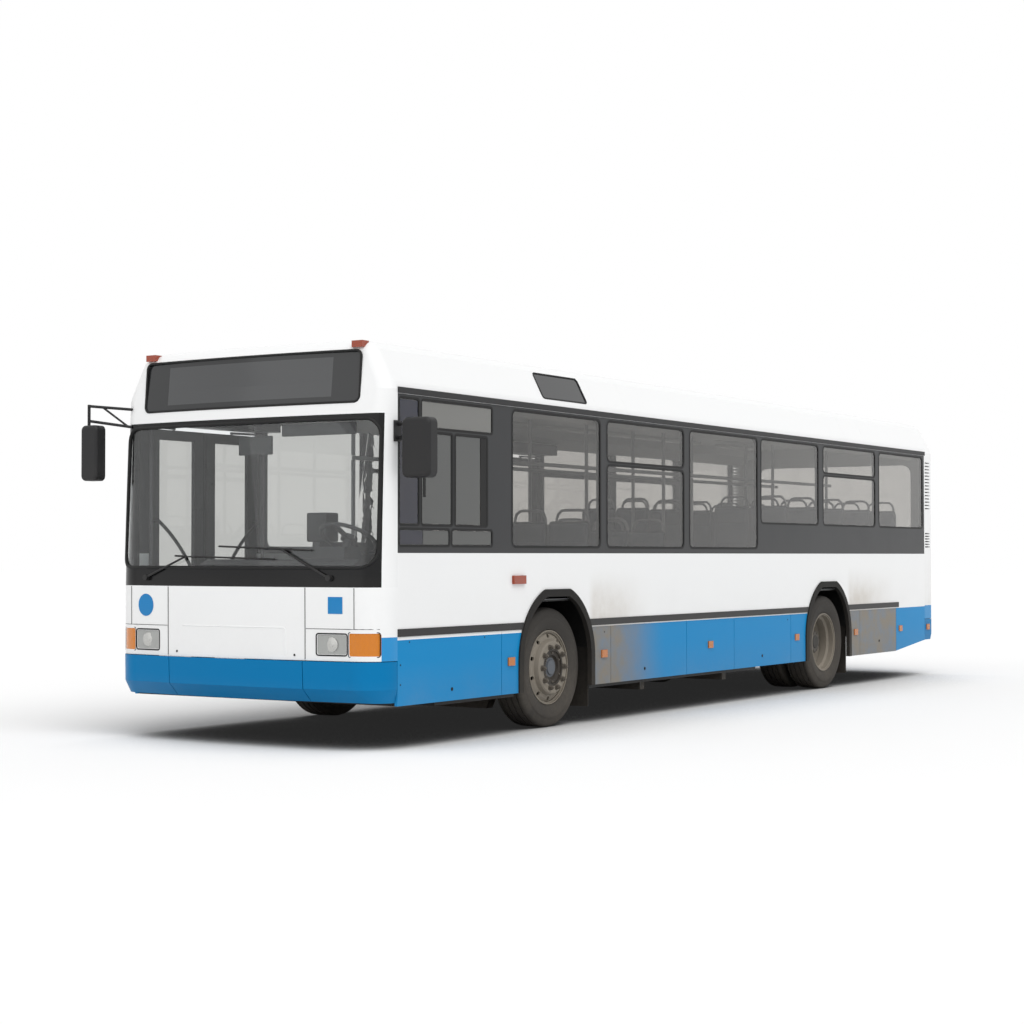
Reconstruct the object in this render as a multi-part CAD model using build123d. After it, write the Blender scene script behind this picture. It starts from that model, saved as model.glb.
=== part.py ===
from build123d import *
import math
import os

# City bus standing on its wheels, with a low floor in front and a raised one over the rear axle.
# Millimetres. X points to the driver's side, Y to the rear and Z up. The origin is on the ground,
# below the middle of the body.

# Driving dimensions
LENGTH = 11100
WIDTH = 2500
ROOF_TOP = 2920
WHEELBASE = 5450
FRONT_AXLE_Y = -3035
REAR_AXLE_Y = FRONT_AXLE_Y + WHEELBASE
NOSE_Y = -LENGTH / 2
TAIL_Y = LENGTH / 2
HALF = WIDTH / 2
WALL = 45

# Heights of the body's main lines
SKIRT_BOTTOM = 310
SKIRT_TOP = 790
RAIL_BOTTOM = 800
RAIL_TOP = 855
BAND_BOTTOM = 1395
GLASS_TOP = 2500
CANT_BOTTOM = 2530
BUMPER_BOTTOM = 334
BUMPER_TOP = 627
SCREEN_BAND_BOTTOM = 1152
SCREEN_BOTTOM = 1290
SCREEN_TOP = 2350
HEADER_BOTTOM = 2385

# Where the side walls begin and end, between the front panels and the rear corner panels
SIDE_FRONT_Y = -5225
SIDE_REAR_Y = 5205

# Floors and ceiling
FLOOR_TOP = 340
STEP_TOP = 480
REAR_FLOOR_TOP = 620
FLOOR_THICKNESS = 60
STEP_Y = 745
STEP_DEPTH = 280

# Doorways on the kerb side: (name, front edge, rear edge)
DOORWAYS = (
    ("front_door", -5120, -3800),
    ("middle_door", -655, 665),
)
DOOR_SILL_TOP = 335
DOOR_TOP = 2402

# Panels and beams that share a node stand this far apart
JOINT_GAP = 1

os.makedirs("parts", exist_ok=True)


def write(node, *shapes):
    """Writes a piece, or like pieces that share a node, as one file."""
    solids = [solid for shape in shapes for solid in shape.solids()]
    export_step(Compound(label=node, children=solids), f"parts/{node}.step")


def block(x0, x1, y0, y1, z0, z1):
    """A box between two corners."""
    size = Box(abs(x1 - x0), abs(y1 - y0), abs(z1 - z0))
    return Pos((x0 + x1) / 2, (y0 + y1) / 2, (z0 + z1) / 2) * size


def panel(x0, x1, y0, y1, z0, z1):
    """A box that stops half a joint gap inside its outline, so it stands clear of its neighbours."""
    gap = JOINT_GAP / 2
    return block(x0 + gap, x1 - gap, y0 + gap, y1 - gap, z0 + gap, z1 - gap)


def post(x, y, z0, z1, radius):
    """An upright round bar."""
    return Pos(x, y, (z0 + z1) / 2) * Cylinder(radius, z1 - z0)


def shaft(x0, x1, y, z, radius):
    """A round bar that runs across the bus."""
    return Pos((x0 + x1) / 2, y, z) * Rot(0, 90, 0) * Cylinder(radius, x1 - x0)


def bar(start, end, radius):
    """A straight round bar between two points."""
    start, end = Vector(*start), Vector(*end)
    plane = Plane(origin=(start + end) / 2, z_dir=end - start)
    return plane * Cylinder(radius, (end - start).length)


def area(u0, u1, v0, v1, radius=0):
    """A rectangle between two corners, its own corners rounded where a radius is given."""
    size = (u1 - u0, v1 - v0)
    shape = RectangleRounded(*size, radius) if radius else Rectangle(*size)
    return Pos((u0 + u1) / 2, (v0 + v1) / 2) * shape


def side_plate(sketch, x0, x1):
    """A shape drawn along (Y) and up (Z) the side, as thick as from x0 to x1."""
    return extrude(Plane.YZ.offset(min(x0, x1)) * sketch, amount=abs(x1 - x0))


def front_plate(sketch, y0, y1):
    """A shape drawn across (X) and up (Z) the front or rear, as thick as from y0 to y1."""
    return extrude(Plane.XZ.offset(-y1) * sketch, amount=y1 - y0)


def mirrored(*shapes):
    """The same shapes on the other side of the bus."""
    return [mirror(shape, about=Plane.YZ) for shape in shapes]


def parted(shape, x_cuts=(), y_cuts=()):
    """A shape divided by upright joint gaps across (at x) and along (at y) the bus."""
    gap = JOINT_GAP / 2
    for cut in x_cuts:
        shape -= block(cut - gap, cut + gap, NOSE_Y, TAIL_Y, 0, ROOF_TOP + 10)
    for cut in y_cuts:
        shape -= block(-HALF - 10, HALF + 10, cut - gap, cut + gap, 0, ROOF_TOP + 10)
    return shape


def at_rear(shape):
    """A shape made for the front, turned to the rear end."""
    return mirror(shape, about=Plane.XZ)


# Roof line: the half width of the body at each height, from the side wall up over the cove
ROOF_LINE = (
    (CANT_BOTTOM, HALF),
    (2560, HALF),
    (2620, 1228),
    (2850, 1110),
    (2895, 1050),
    (ROOF_TOP, 975),
)

# End sections of the body, from low to high: (height, tip of the bow, half width)
FRONT_SECTIONS = (
    (560, -5535, HALF),
    (SCREEN_BAND_BOTTOM, -5540, HALF),
    (SCREEN_BOTTOM, -5533, HALF),
    (HEADER_BOTTOM, -5430, HALF),
    (2560, -5412, HALF),
    (2620, -5406, 1228),
    (2850, -5390, 1110),
    (2895, -5360, 1050),
    (ROOF_TOP, -5310, 975),
)
REAR_SECTIONS = (
    (420, -5530, HALF),
    (2560, -5530, HALF),
    (2620, -5526, 1228),
    (2850, -5512, 1110),
    (2895, -5485, 1050),
    (ROOF_TOP, -5450, 975),
)
BUMPER_SECTIONS = (
    (BUMPER_BOTTOM, -5440, HALF - 20),
    (430, -5540, HALF),
    (BUMPER_TOP, NOSE_Y, HALF),
)
FRONT_CORNER_Y = -5235
REAR_CORNER_Y = -5400
FRONT_BOW = 60
REAR_BOW = 20


def end_face(height, tip_y, half_width, corner_y, bow, back_y, inset):
    """One level section of an end of the body: a bowed front and round corners."""
    half = half_width - inset
    tip = tip_y + inset
    radius = corner_y - tip_y - bow - inset
    shoulder = tip + bow
    slant = radius * (1 - math.sqrt(0.5))
    corner = (half - radius, shoulder)
    outline = [
        Line((half, back_y), (half, corner_y)),
        ThreePointArc((half, corner_y), (half - slant, shoulder + slant), corner),
        ThreePointArc(corner, (0, tip), (-corner[0], shoulder)),
        ThreePointArc((-corner[0], shoulder), (slant - half, shoulder + slant), (-half, corner_y)),
        Line((-half, corner_y), (-half, back_y)),
        Line((-half, back_y), (half, back_y)),
    ]
    return Pos(0, 0, height) * make_face(outline)


def end_form(sections, corner_y, bow, back_y, inset=0, roofed=True):
    """The closed form of an end of the body, or of its hollow where it is inset."""
    if inset > 0 and roofed:
        top = sections[-1][0] - inset
        kept = [row for row in sections if row[0] < top]
        sections = kept + [(top, kept[-1][1], kept[-1][2])]
    faces = [end_face(*row, corner_y, bow, back_y, inset) for row in sections]
    return loft(faces, ruled=True)


def front_form(inset=0):
    back_y = SIDE_FRONT_Y + (50 if inset > 0 else 0)
    return end_form(FRONT_SECTIONS, FRONT_CORNER_Y, FRONT_BOW, back_y, inset)


def front_face_y(x, z):
    """Where the outside of the bowed front lies, at a place across (x) and up (z)."""
    for (z0, tip0, _), (z1, tip1, _) in zip(FRONT_SECTIONS, FRONT_SECTIONS[1:]):
        if z0 <= z <= z1:
            tip = tip0 + (tip1 - tip0) * (z - z0) / (z1 - z0)
    corner_x = HALF - (FRONT_CORNER_Y - tip - FRONT_BOW)
    return tip + FRONT_BOW * (x / corner_x) ** 2


def rear_form(inset=0):
    back_y = -SIDE_REAR_Y + (50 if inset > 0 else 0)
    return at_rear(end_form(REAR_SECTIONS, REAR_CORNER_Y, REAR_BOW, back_y, inset))


def slice_between(form, z0, z1):
    """The part of a form between two heights."""
    return form & block(-HALF - 50, HALF + 50, NOSE_Y - 50, TAIL_Y + 50, z0, z1)


# Wheel arch: flat on top, with large round shoulders and upright sides
ARCH_HALF = 585
ARCH_SPRING = 560
ARCH_SHOULDER = (450, 925)
ARCH_FLAT = 190
ARCH_TOP = 1108
ARCH_TRIM = 60


def arch_area(axle_y, inset=0, foot=200):
    """The outline of a wheel arch, or of its opening where it is inset."""
    half = ARCH_HALF - inset
    flat = ARCH_FLAT - inset * 0.3
    top = ARCH_TOP - inset
    shoulder_y, shoulder_z = [size - inset * 0.71 for size in ARCH_SHOULDER]
    outline = [Line((axle_y - flat, top), (axle_y + flat, top))]
    for side in (-1, 1):
        foot_y = axle_y + side * half
        outline.append(Line((foot_y, foot), (foot_y, ARCH_SPRING)))
        outline.append(ThreePointArc(
            (foot_y, ARCH_SPRING), (axle_y + side * shoulder_y, shoulder_z), (axle_y + side * flat, top)
        ))
    outline.append(Line((axle_y - half, foot), (axle_y + half, foot)))
    return make_face(outline)


ARCHES = arch_area(FRONT_AXLE_Y) + arch_area(REAR_AXLE_Y)

# Outer side walls: one plate from the rail up to the window band, with the wheel arches cut out
wall_outline = area(SIDE_FRONT_Y, SIDE_REAR_Y, SKIRT_TOP, BAND_BOTTOM) - ARCHES
left_wall = side_plate(wall_outline, HALF - WALL, HALF)
write("left_side_wall", left_wall)
right_outline = wall_outline
for _, door_front, door_rear in DOORWAYS:
    right_outline -= area(door_front, door_rear, 0, GLASS_TOP)
write("right_side_wall", side_plate(right_outline, -HALF, WALL - HALF))

# Skirts: separate flaps below the rail, the last one sloping up to the rear
SEAM = 6
LEFT_SKIRT_SEAMS = (-3861, -2163, -781, 191, 1475, 3260, 4310)
RIGHT_SKIRT_SEAMS = (-2163, 1475, 3260, 4310)
SKIRT_RISE_Y = 4278
SKIRT_REAR_BOTTOM = 403
SKIRT_THICKNESS = 25


def skirt_area(seams):
    outline = make_face(Polyline(
        (SIDE_FRONT_Y, SKIRT_TOP), (SIDE_FRONT_Y, SKIRT_BOTTOM), (SKIRT_RISE_Y, SKIRT_BOTTOM),
        (SIDE_REAR_Y, SKIRT_REAR_BOTTOM), (SIDE_REAR_Y, SKIRT_TOP), close=True,
    )) - ARCHES
    for seam in seams:
        outline -= area(seam - SEAM / 2, seam + SEAM / 2, 0, SKIRT_TOP + 10)
    return outline


left_skirts = side_plate(skirt_area(LEFT_SKIRT_SEAMS), HALF - SKIRT_THICKNESS, HALF)
right_skirt_area = skirt_area(RIGHT_SKIRT_SEAMS)
for _, door_front, door_rear in DOORWAYS:
    right_skirt_area -= area(door_front, door_rear, DOOR_SILL_TOP, SKIRT_TOP + 10)
    for jamb_y in (door_front, door_rear):
        right_skirt_area -= area(jamb_y - SEAM / 2, jamb_y + SEAM / 2, 0, SKIRT_TOP + 10)
right_skirts = side_plate(right_skirt_area, -HALF, SKIRT_THICKNESS - HALF)
write("side_skirts", left_skirts, right_skirts)

# Window bands: dark plates with the window openings cut
# Side windows: (front edge, rear edge, sill height, height of a vent bar or 0)
LEFT_WINDOWS = (
    (-3700, -2335, 1450, 0),
    (-2215, -825, 1450, 2150),
    (-705, 715, 1450, 0),
    (800, 2170, 1695, 0),
    (2300, 3710, 1695, 2215),
    (3825, 5150, 1695, 0),
)
RIGHT_WINDOWS = (
    (-3680, -2335, 1450, 0),
    (-2215, -765, 1450, 2150),
    (780, 2170, 1695, 2215),
    (2300, 3710, 1695, 2215),
    (3825, 5150, 1695, 0),
)
WINDOW_RADIUS = 60
VENT_BAR = 36
GLASS = 8
GLASS_SETBACK = 6


def window_panes(rows):
    """The glazed areas of one side, divided where a vent bar crosses them."""
    panes = []
    for front, rear, sill, bar_z in rows:
        if bar_z:
            panes.append(area(front, rear, sill, bar_z - VENT_BAR / 2, 25))
            panes.append(area(front, rear, bar_z + VENT_BAR / 2, GLASS_TOP, 25))
        else:
            panes.append(area(front, rear, sill, GLASS_TOP, WINDOW_RADIUS))
    return panes


left_panes = window_panes(LEFT_WINDOWS)
right_panes = window_panes(RIGHT_WINDOWS)

# The driver's window: fixed pane and sliding panes over two small lower ones
DRIVER_PANES = (
    (-5200, -4960, 1600, GLASS_TOP),
    (-4925, -4530, 1600, 2270),
    (-4495, -4060, 1600, 2270),
    (-4925, -3990, 2305, GLASS_TOP),
    (-5200, -4570, 1450, 1565),
    (-4535, -3990, 1450, 1565),
)
left_panes += [area(*row, 20) for row in DRIVER_PANES]

left_band = area(SIDE_FRONT_Y, SIDE_REAR_Y, BAND_BOTTOM, CANT_BOTTOM)
for pane in left_panes:
    left_band -= pane
right_band = area(SIDE_FRONT_Y, SIDE_REAR_Y, BAND_BOTTOM, CANT_BOTTOM)
for _, door_front, door_rear in DOORWAYS:
    right_band -= area(door_front, door_rear, BAND_BOTTOM - 10, CANT_BOTTOM + 10)
for pane in right_panes:
    right_band -= pane
write(
    "window_bands",
    side_plate(left_band, HALF - WALL, HALF - 2),
    side_plate(right_band, 2 - HALF, WALL - HALF),
)

# Headers over the doorways
headers = [
    block(2 - HALF, WALL - HALF, door_front, door_rear, DOOR_TOP, CANT_BOTTOM)
    for _, door_front, door_rear in DOORWAYS
]

glass_outer = HALF - GLASS_SETBACK
left_glass = [side_plate(pane, glass_outer - GLASS, glass_outer) for pane in left_panes]
right_glass = [side_plate(pane, -glass_outer, GLASS - glass_outer) for pane in right_panes]

# Rear window, in the rear wall
REAR_PANE = area(-980, 980, 1560, 2440, 110)
rear_glass = (rear_form(GLASS_SETBACK) - rear_form(GLASS_SETBACK + GLASS))
rear_glass &= front_plate(REAR_PANE, REAR_AXLE_Y, TAIL_Y + 50)
write("saloon_windows", *left_glass, *right_glass, rear_glass)

# Rails: the rub rail on the foot of the wall, and the rain gutter over the windows
RAIL_PROUD = 8
RAIL_END_Y = 4380
GUTTER = (2532, 2576)
GUTTER_PROUD = 12


left_rail = area(SIDE_FRONT_Y, RAIL_END_Y, RAIL_BOTTOM, RAIL_TOP) - ARCHES
right_rail = left_rail
for _, door_front, door_rear in DOORWAYS:
    right_rail -= area(door_front, door_rear, RAIL_BOTTOM - 10, RAIL_TOP + 10)
rails = [
    side_plate(left_rail, HALF, HALF + RAIL_PROUD),
    side_plate(right_rail, -HALF - RAIL_PROUD, -HALF),
]
gutters = [block(HALF, HALF + GUTTER_PROUD, SIDE_FRONT_Y, SIDE_REAR_Y, *GUTTER)]
gutters += mirrored(*gutters)
write("body_rails", *rails, *gutters)

# Arch trims: thick rubber lips round each arch, and the mudflaps that hang behind the wheels
TRIM = (HALF - 25, HALF + 15)
BOX_HALF = 600
BOX_WALL = 20
FRONT_BOX_X = 565
REAR_BOX_X = 590
FLAP_THICKNESS = 10
FLAP_BOTTOM = 130
arch_trims = []
mudflaps = []
for axle_y, box_x in ((FRONT_AXLE_Y, FRONT_BOX_X), (REAR_AXLE_Y, REAR_BOX_X)):
    ring = arch_area(axle_y, foot=SKIRT_BOTTOM) - arch_area(axle_y, ARCH_TRIM)
    arch_trims.append(side_plate(ring, *TRIM))
    flap_y = axle_y + BOX_HALF - BOX_WALL
    mudflaps.append(block(box_x + 70, HALF - 50, flap_y - FLAP_THICKNESS, flap_y, FLAP_BOTTOM, 620))
write("arch_trims", *arch_trims, *mirrored(*arch_trims), *mudflaps, *mirrored(*mudflaps))

# Roof: a shell over the cant rails, with two hatch openings and a recess for the side sign
ROOF_SHELL = 45
HATCHES = (
    ("front_roof_hatch", -2100),
    ("rear_roof_hatch", 3200),
)
HATCH_X = 350
HATCH_Y = 260


def roof_outline(inset=0):
    top = [(half - inset, height) for height, half in ROOF_LINE[:-1]]
    last_height, last_half = ROOF_LINE[-1]
    right = top + [(last_half - inset * 0.4, last_height - inset)]
    if inset:
        right[0] = (right[0][0], right[0][1] - 10)
        right[-2] = (right[-2][0], min(right[-2][1], last_height - inset - 20))
    left = [(-x, z) for x, z in reversed(right)]
    return Polyline(*(right + left), close=True)


roof = extrude(
    Plane.XZ.offset(-SIDE_REAR_Y) * (make_face(roof_outline()) - make_face(roof_outline(ROOF_SHELL))),
    amount=SIDE_REAR_Y - SIDE_FRONT_Y,
)
for _, hatch_y in HATCHES:
    roof -= block(-HATCH_X, HATCH_X, hatch_y - HATCH_Y, hatch_y + HATCH_Y, 2700, 3000)

# Side sign: a dark glass box let into the cove on the driver's side
SIDE_SIGN = (-3200, -2510, 2632, 2838)


def cove_strip(z0, z1, outer, inner):
    """A slanted strip that follows the cove between two heights, from outer to inner depth."""
    (low_z, low_x), (high_z, high_x) = ROOF_LINE[2], ROOF_LINE[3]
    lean = (low_x - high_x) / (high_z - low_z)
    x0, x1 = low_x - (z0 - low_z) * lean, low_x - (z1 - low_z) * lean
    corners = (x0 - outer, z0), (x1 - outer, z1), (x1 - inner, z1), (x0 - inner, z0)
    return make_face(Polyline(*corners, close=True))


sign_front, sign_rear, sign_bottom, sign_top = SIDE_SIGN
side_sign = front_plate(cove_strip(sign_bottom, sign_top, 2, 34), sign_front, sign_rear)
roof -= front_plate(cove_strip(sign_bottom, sign_top, -20, 90), sign_front, sign_rear)

# The roof's sheets meet along the coves and at the hatches
ROOF_JOINT_X = 950
HATCH_JOINTS = [hatch_y + side * HATCH_Y for _, hatch_y in HATCHES for side in (-1, 1)]
write("roof_shell", parted(roof, (-ROOF_JOINT_X, ROOF_JOINT_X), HATCH_JOINTS))

# Front: one lofted form, split at its real joints into mask, windscreen surround and header
front_shell = front_form() - front_form(WALL)
FLAP_HALF = 648
HEADLAMP = (750, 988, 679, 817)
INDICATOR = (1012, 1212, 668, 829)
lamp_areas = [area(*HEADLAMP, 12), area(*INDICATOR, 12)]
lamp_prisms = [front_plate(lamp, NOSE_Y - 20, SIDE_FRONT_Y - 10) for lamp in lamp_areas]
lamp_prisms += mirrored(*lamp_prisms)
mask = slice_between(front_shell, BUMPER_TOP + 5, SCREEN_BAND_BOTTOM)
for side in (-1, 1):
    seam_x = side * FLAP_HALF
    mask -= block(seam_x - SEAM / 2, seam_x + SEAM / 2, NOSE_Y, -5400, 500, 1200)
for prism in lamp_prisms:
    mask -= prism
write("front_mask", mask)

lamp_skin = front_form(4) - front_form(WALL - 2)
write("front_lamps", *[lamp_skin & prism for prism in lamp_prisms])

SCREEN_HALF = 1195
SCREEN_RADIUS = 120
screen_prism = front_plate(
    area(-SCREEN_HALF, SCREEN_HALF, SCREEN_BOTTOM, SCREEN_TOP, SCREEN_RADIUS), NOSE_Y, SIDE_FRONT_Y
)
surround = slice_between(front_shell, SCREEN_BAND_BOTTOM, HEADER_BOTTOM) - screen_prism
write("windscreen_surround", surround)
write("windscreen", (front_form(8) - front_form(8 + GLASS)) & screen_prism)

FRONT_SIGN = (-1018, 1018, 2470, 2841)
sign_prism = front_plate(area(*FRONT_SIGN, 45), NOSE_Y, SIDE_FRONT_Y)
header = slice_between(front_shell, HEADER_BOTTOM, ROOF_TOP + 1) - sign_prism
write("front_header", header)
front_sign = (front_form(4) - front_form(WALL - 5)) & sign_prism
write("destination_signs", front_sign, side_sign)

# Front bumper: three mouldings whose lower half rakes back
BUMPER_WALL = 35


def bumper_form(sections, corner_y, bow, back_y):
    outer = end_form(sections, corner_y, bow, back_y)
    inner = end_form(sections, corner_y, bow, back_y + 50, BUMPER_WALL, roofed=False)
    return outer - inner


front_bumper = bumper_form(BUMPER_SECTIONS, FRONT_CORNER_Y, FRONT_BOW, SIDE_FRONT_Y - SEAM)
BUMPER_SEAM_X = 631
for side in (-1, 1):
    seam_x = side * BUMPER_SEAM_X
    front_bumper -= block(seam_x - SEAM / 2, seam_x + SEAM / 2, NOSE_Y - 10, -5350, 300, 700)

# Rear: corner panels and back wall in one shell, with window, engine opening and louvres cut
LID = (-880, 880, 700, 1330)
LID_GAP = 6
UPPER_LOUVRES = (15, 1912, 2456)
LOWER_LOUVRES = (6, 1468, 1637)
LOUVRE = (5232, 5380)
LOUVRE_HEIGHT = 15
REAR_BUMPER_TOP = 640
REAR_BUMPER_SECTIONS = (
    (SKIRT_REAR_BOTTOM, -5500, HALF - 10),
    (470, -5545, HALF),
    (REAR_BUMPER_TOP, -TAIL_Y, HALF),
)
REAR_LAMP = (1000, 1195, 720, 1160)


def louvre_area(group):
    count, low, high = group
    pitch = (high - low - LOUVRE_HEIGHT) / (count - 1)
    rows = [low + pitch * row for row in range(count)]
    slots = area(*LOUVRE, rows[0], rows[0] + LOUVRE_HEIGHT)
    for row in rows[1:]:
        slots += area(*LOUVRE, row, row + LOUVRE_HEIGHT)
    return slots


rear_shell = rear_form() - rear_form(WALL)
rear_wall = slice_between(rear_shell, REAR_BUMPER_TOP + 5, ROOF_TOP + 1)
rear_wall -= front_plate(REAR_PANE, SIDE_REAR_Y, TAIL_Y)
rear_wall -= front_plate(area(*LID), SIDE_REAR_Y, TAIL_Y)
for group in (UPPER_LOUVRES, LOWER_LOUVRES):
    slots = side_plate(louvre_area(group), HALF - WALL - 10, HALF + 10)
    rear_wall -= slots
    rear_wall -= mirror(slots, about=Plane.YZ)
rear_lamp_prisms = [front_plate(area(*REAR_LAMP, 12), SIDE_REAR_Y + 60, TAIL_Y)]
rear_lamp_prisms += mirrored(*rear_lamp_prisms)
for prism in rear_lamp_prisms:
    rear_wall -= prism
write("rear_wall", rear_wall)
rear_lamp_skin = rear_form(4) - rear_form(WALL - 2)
write("rear_lamps", *[rear_lamp_skin & prism for prism in rear_lamp_prisms])

lid_area = area(LID[0] + LID_GAP, LID[1] - LID_GAP, LID[2] + LID_GAP, LID[3] - LID_GAP)
engine_lid = rear_shell & front_plate(lid_area, SIDE_REAR_Y, TAIL_Y)
write("engine_lid", engine_lid)
rear_bumper = at_rear(bumper_form(REAR_BUMPER_SECTIONS, REAR_CORNER_Y, REAR_BOW, -SIDE_REAR_Y - SEAM))
rear_bumper = parted(rear_bumper, (-BUMPER_SEAM_X, BUMPER_SEAM_X))
write("bumpers", front_bumper, rear_bumper)


# Roof hatches: lids over the roof openings, hinged at their front edge
LID_X = 400
LID_Y = 310
LID_BOTTOM = ROOF_TOP + 6
LID_TOP = LID_BOTTOM + 32
for name, hatch_y in HATCHES:
    tray = block(-LID_X, LID_X, hatch_y - LID_Y, hatch_y + LID_Y, LID_BOTTOM, LID_TOP)
    tray = fillet(tray.edges().filter_by(Axis.Z), 40)
    write(name, tray)

# Ceiling: a lining with sloping air ducts over the windows
CEILING = (
    (HALF - WALL, 2505), (1140, 2470), (900, 2560), (860, 2650),
)
LINING = 12
ceiling_under = list(CEILING) + [(-x, z) for x, z in reversed(CEILING)]
ceiling_over = [(x, z + LINING) for x, z in ceiling_under]
lining = make_face(Polyline(*ceiling_under, *reversed(ceiling_over), close=True))
ceiling = front_plate(lining, SIDE_FRONT_Y, SIDE_REAR_Y)
for _, hatch_y in HATCHES:
    ceiling -= block(-HATCH_X, HATCH_X, hatch_y - HATCH_Y, hatch_y + HATCH_Y, 2500, 2700)
CEILING_JOINT_X = 850
ceiling = parted(ceiling, (-CEILING_JOINT_X, CEILING_JOINT_X), HATCH_JOINTS)

# Over the doors the lining stops short of the door gear
GEAR_ROOM_X = -1000
GEAR_ROOM_MARGIN = 60
for _, door_front, door_rear in DOORWAYS:
    room_front, room_rear = door_front - GEAR_ROOM_MARGIN, door_rear + GEAR_ROOM_MARGIN
    ceiling -= block(-HALF, GEAR_ROOM_X, room_front, room_rear, 2300, 2700)
    for room_end in (room_front, room_rear):
        gap = (room_end - JOINT_GAP / 2, room_end + JOINT_GAP / 2)
        ceiling -= block(-HALF, -CEILING_JOINT_X, *gap, 2300, 2700)
write("ceiling_lining", ceiling)

# Floor: low in front, two steps up to the rear, with boxes over the wheels
INSIDE = HALF - WALL
FLOOR_FRONT_Y = -5330
BOX_TOP = 1030
ENGINE_ROOM_Y = 4540
ENGINE_ROOM_TOP = 1345
ENGINE_ROOM_PANEL = 20


def wheel_box(axle_y, box_x, foot_z):
    """The walls and the lid of an open-bottomed box over the wheels of one side."""
    front, rear, lid_z = axle_y - BOX_HALF, axle_y + BOX_HALF, BOX_TOP - BOX_WALL
    return [
        panel(box_x, box_x + BOX_WALL, front, rear, foot_z, lid_z),
        panel(box_x + BOX_WALL, INSIDE, front, front + BOX_WALL, foot_z, lid_z),
        panel(box_x + BOX_WALL, INSIDE, rear - BOX_WALL, rear, foot_z, lid_z),
        panel(box_x, INSIDE, front, rear, lid_z, BOX_TOP),
    ]


# Floor panels: (half width, front edge, rear edge, underside, top)
NOSE_FLOOR_BOTTOM = 310
NOSE_TIP_BOTTOM = 324
NOSE_FLOOR_HALF = 1000
NOSE_FLOOR_REAR_Y = -4700
LOW_FLOOR_BOTTOM = FLOOR_TOP - FLOOR_THICKNESS
REAR_FLOOR_BOTTOM = REAR_FLOOR_TOP - FLOOR_THICKNESS
TREAD_BOTTOM = STEP_TOP - 40
RISER = 20
STEP_END_Y = STEP_Y + STEP_DEPTH
FRONT_BOX = (FRONT_AXLE_Y - BOX_HALF, FRONT_AXLE_Y + BOX_HALF)
REAR_BOX = (REAR_AXLE_Y - BOX_HALF, REAR_AXLE_Y + BOX_HALF)
BULKHEAD_REAR_Y = ENGINE_ROOM_Y + ENGINE_ROOM_PANEL
FLOOR_PANELS = (
    (NOSE_FLOOR_HALF, FLOOR_FRONT_Y, SIDE_FRONT_Y, NOSE_TIP_BOTTOM, FLOOR_TOP),
    (INSIDE, SIDE_FRONT_Y, NOSE_FLOOR_REAR_Y, NOSE_FLOOR_BOTTOM, FLOOR_TOP),
    (INSIDE, NOSE_FLOOR_REAR_Y, FRONT_BOX[0], LOW_FLOOR_BOTTOM, FLOOR_TOP),
    (FRONT_BOX_X, *FRONT_BOX, LOW_FLOOR_BOTTOM, FLOOR_TOP),
    (INSIDE, FRONT_BOX[1], STEP_Y, LOW_FLOOR_BOTTOM, FLOOR_TOP),
    (INSIDE, STEP_Y - RISER, STEP_Y, FLOOR_TOP, STEP_TOP),
    (INSIDE, STEP_Y, STEP_END_Y, TREAD_BOTTOM, STEP_TOP),
    (INSIDE, STEP_END_Y - RISER, STEP_END_Y, STEP_TOP, REAR_FLOOR_TOP),
    (INSIDE, STEP_END_Y, REAR_BOX[0], REAR_FLOOR_BOTTOM, REAR_FLOOR_TOP),
    (REAR_BOX_X, *REAR_BOX, REAR_FLOOR_BOTTOM, REAR_FLOOR_TOP),
    (INSIDE, REAR_BOX[1], BULKHEAD_REAR_Y, REAR_FLOOR_BOTTOM, REAR_FLOOR_TOP),
)
floor = [panel(-half, half, front, rear, low, top) for half, front, rear, low, top in FLOOR_PANELS]

# Engine room: a bulkhead behind the last seats and a shelf over the engine
SHELF_BOTTOM = ENGINE_ROOM_TOP - ENGINE_ROOM_PANEL
SHELF_REAR = (1130, 5450)
floor.append(panel(-INSIDE, INSIDE, ENGINE_ROOM_Y, BULKHEAD_REAR_Y, REAR_FLOOR_TOP, SHELF_BOTTOM))
floor.append(panel(-INSIDE, INSIDE, ENGINE_ROOM_Y, -REAR_CORNER_Y, SHELF_BOTTOM, ENGINE_ROOM_TOP))
floor.append(panel(
    -SHELF_REAR[0], SHELF_REAR[0], -REAR_CORNER_Y, SHELF_REAR[1], SHELF_BOTTOM, ENGINE_ROOM_TOP
))

# Boxes over the wheels, and the towers in the front ones that take the air springs
SPRING_TOP = 700
SPRING_X = 705
SPRING_RADIUS = 78
TOWER_HALF = 80
boxes = wheel_box(FRONT_AXLE_Y, FRONT_BOX_X, LOW_FLOOR_BOTTOM)
boxes += wheel_box(REAR_AXLE_Y, REAR_BOX_X, REAR_FLOOR_BOTTOM)
boxes.append(panel(
    SPRING_X - TOWER_HALF, SPRING_X + TOWER_HALF, FRONT_AXLE_Y - TOWER_HALF, FRONT_AXLE_Y + TOWER_HALF,
    SPRING_TOP, BOX_TOP - BOX_WALL,
))

# The driver's platform, and the platforms under the front seats: (inner edge, front edge, rear edge, top)
PLATFORM_TOP = 600
CAB_FLOOR = 680
LEFT_PLATFORMS = ((250, -5200, -3700, CAB_FLOOR), (360, FRONT_BOX[1], -600, PLATFORM_TOP))
RIGHT_PLATFORM = (360, FRONT_BOX[1], -950, PLATFORM_TOP)
platforms = [
    panel(inner, INSIDE, front, rear, FLOOR_TOP, top) for inner, front, rear, top in LEFT_PLATFORMS
]
inner, front, rear, top = RIGHT_PLATFORM
platforms.append(panel(-INSIDE, -inner, front, rear, FLOOR_TOP, top))
write("floor_deck", *floor, *boxes, *mirrored(*boxes), *platforms)

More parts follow.
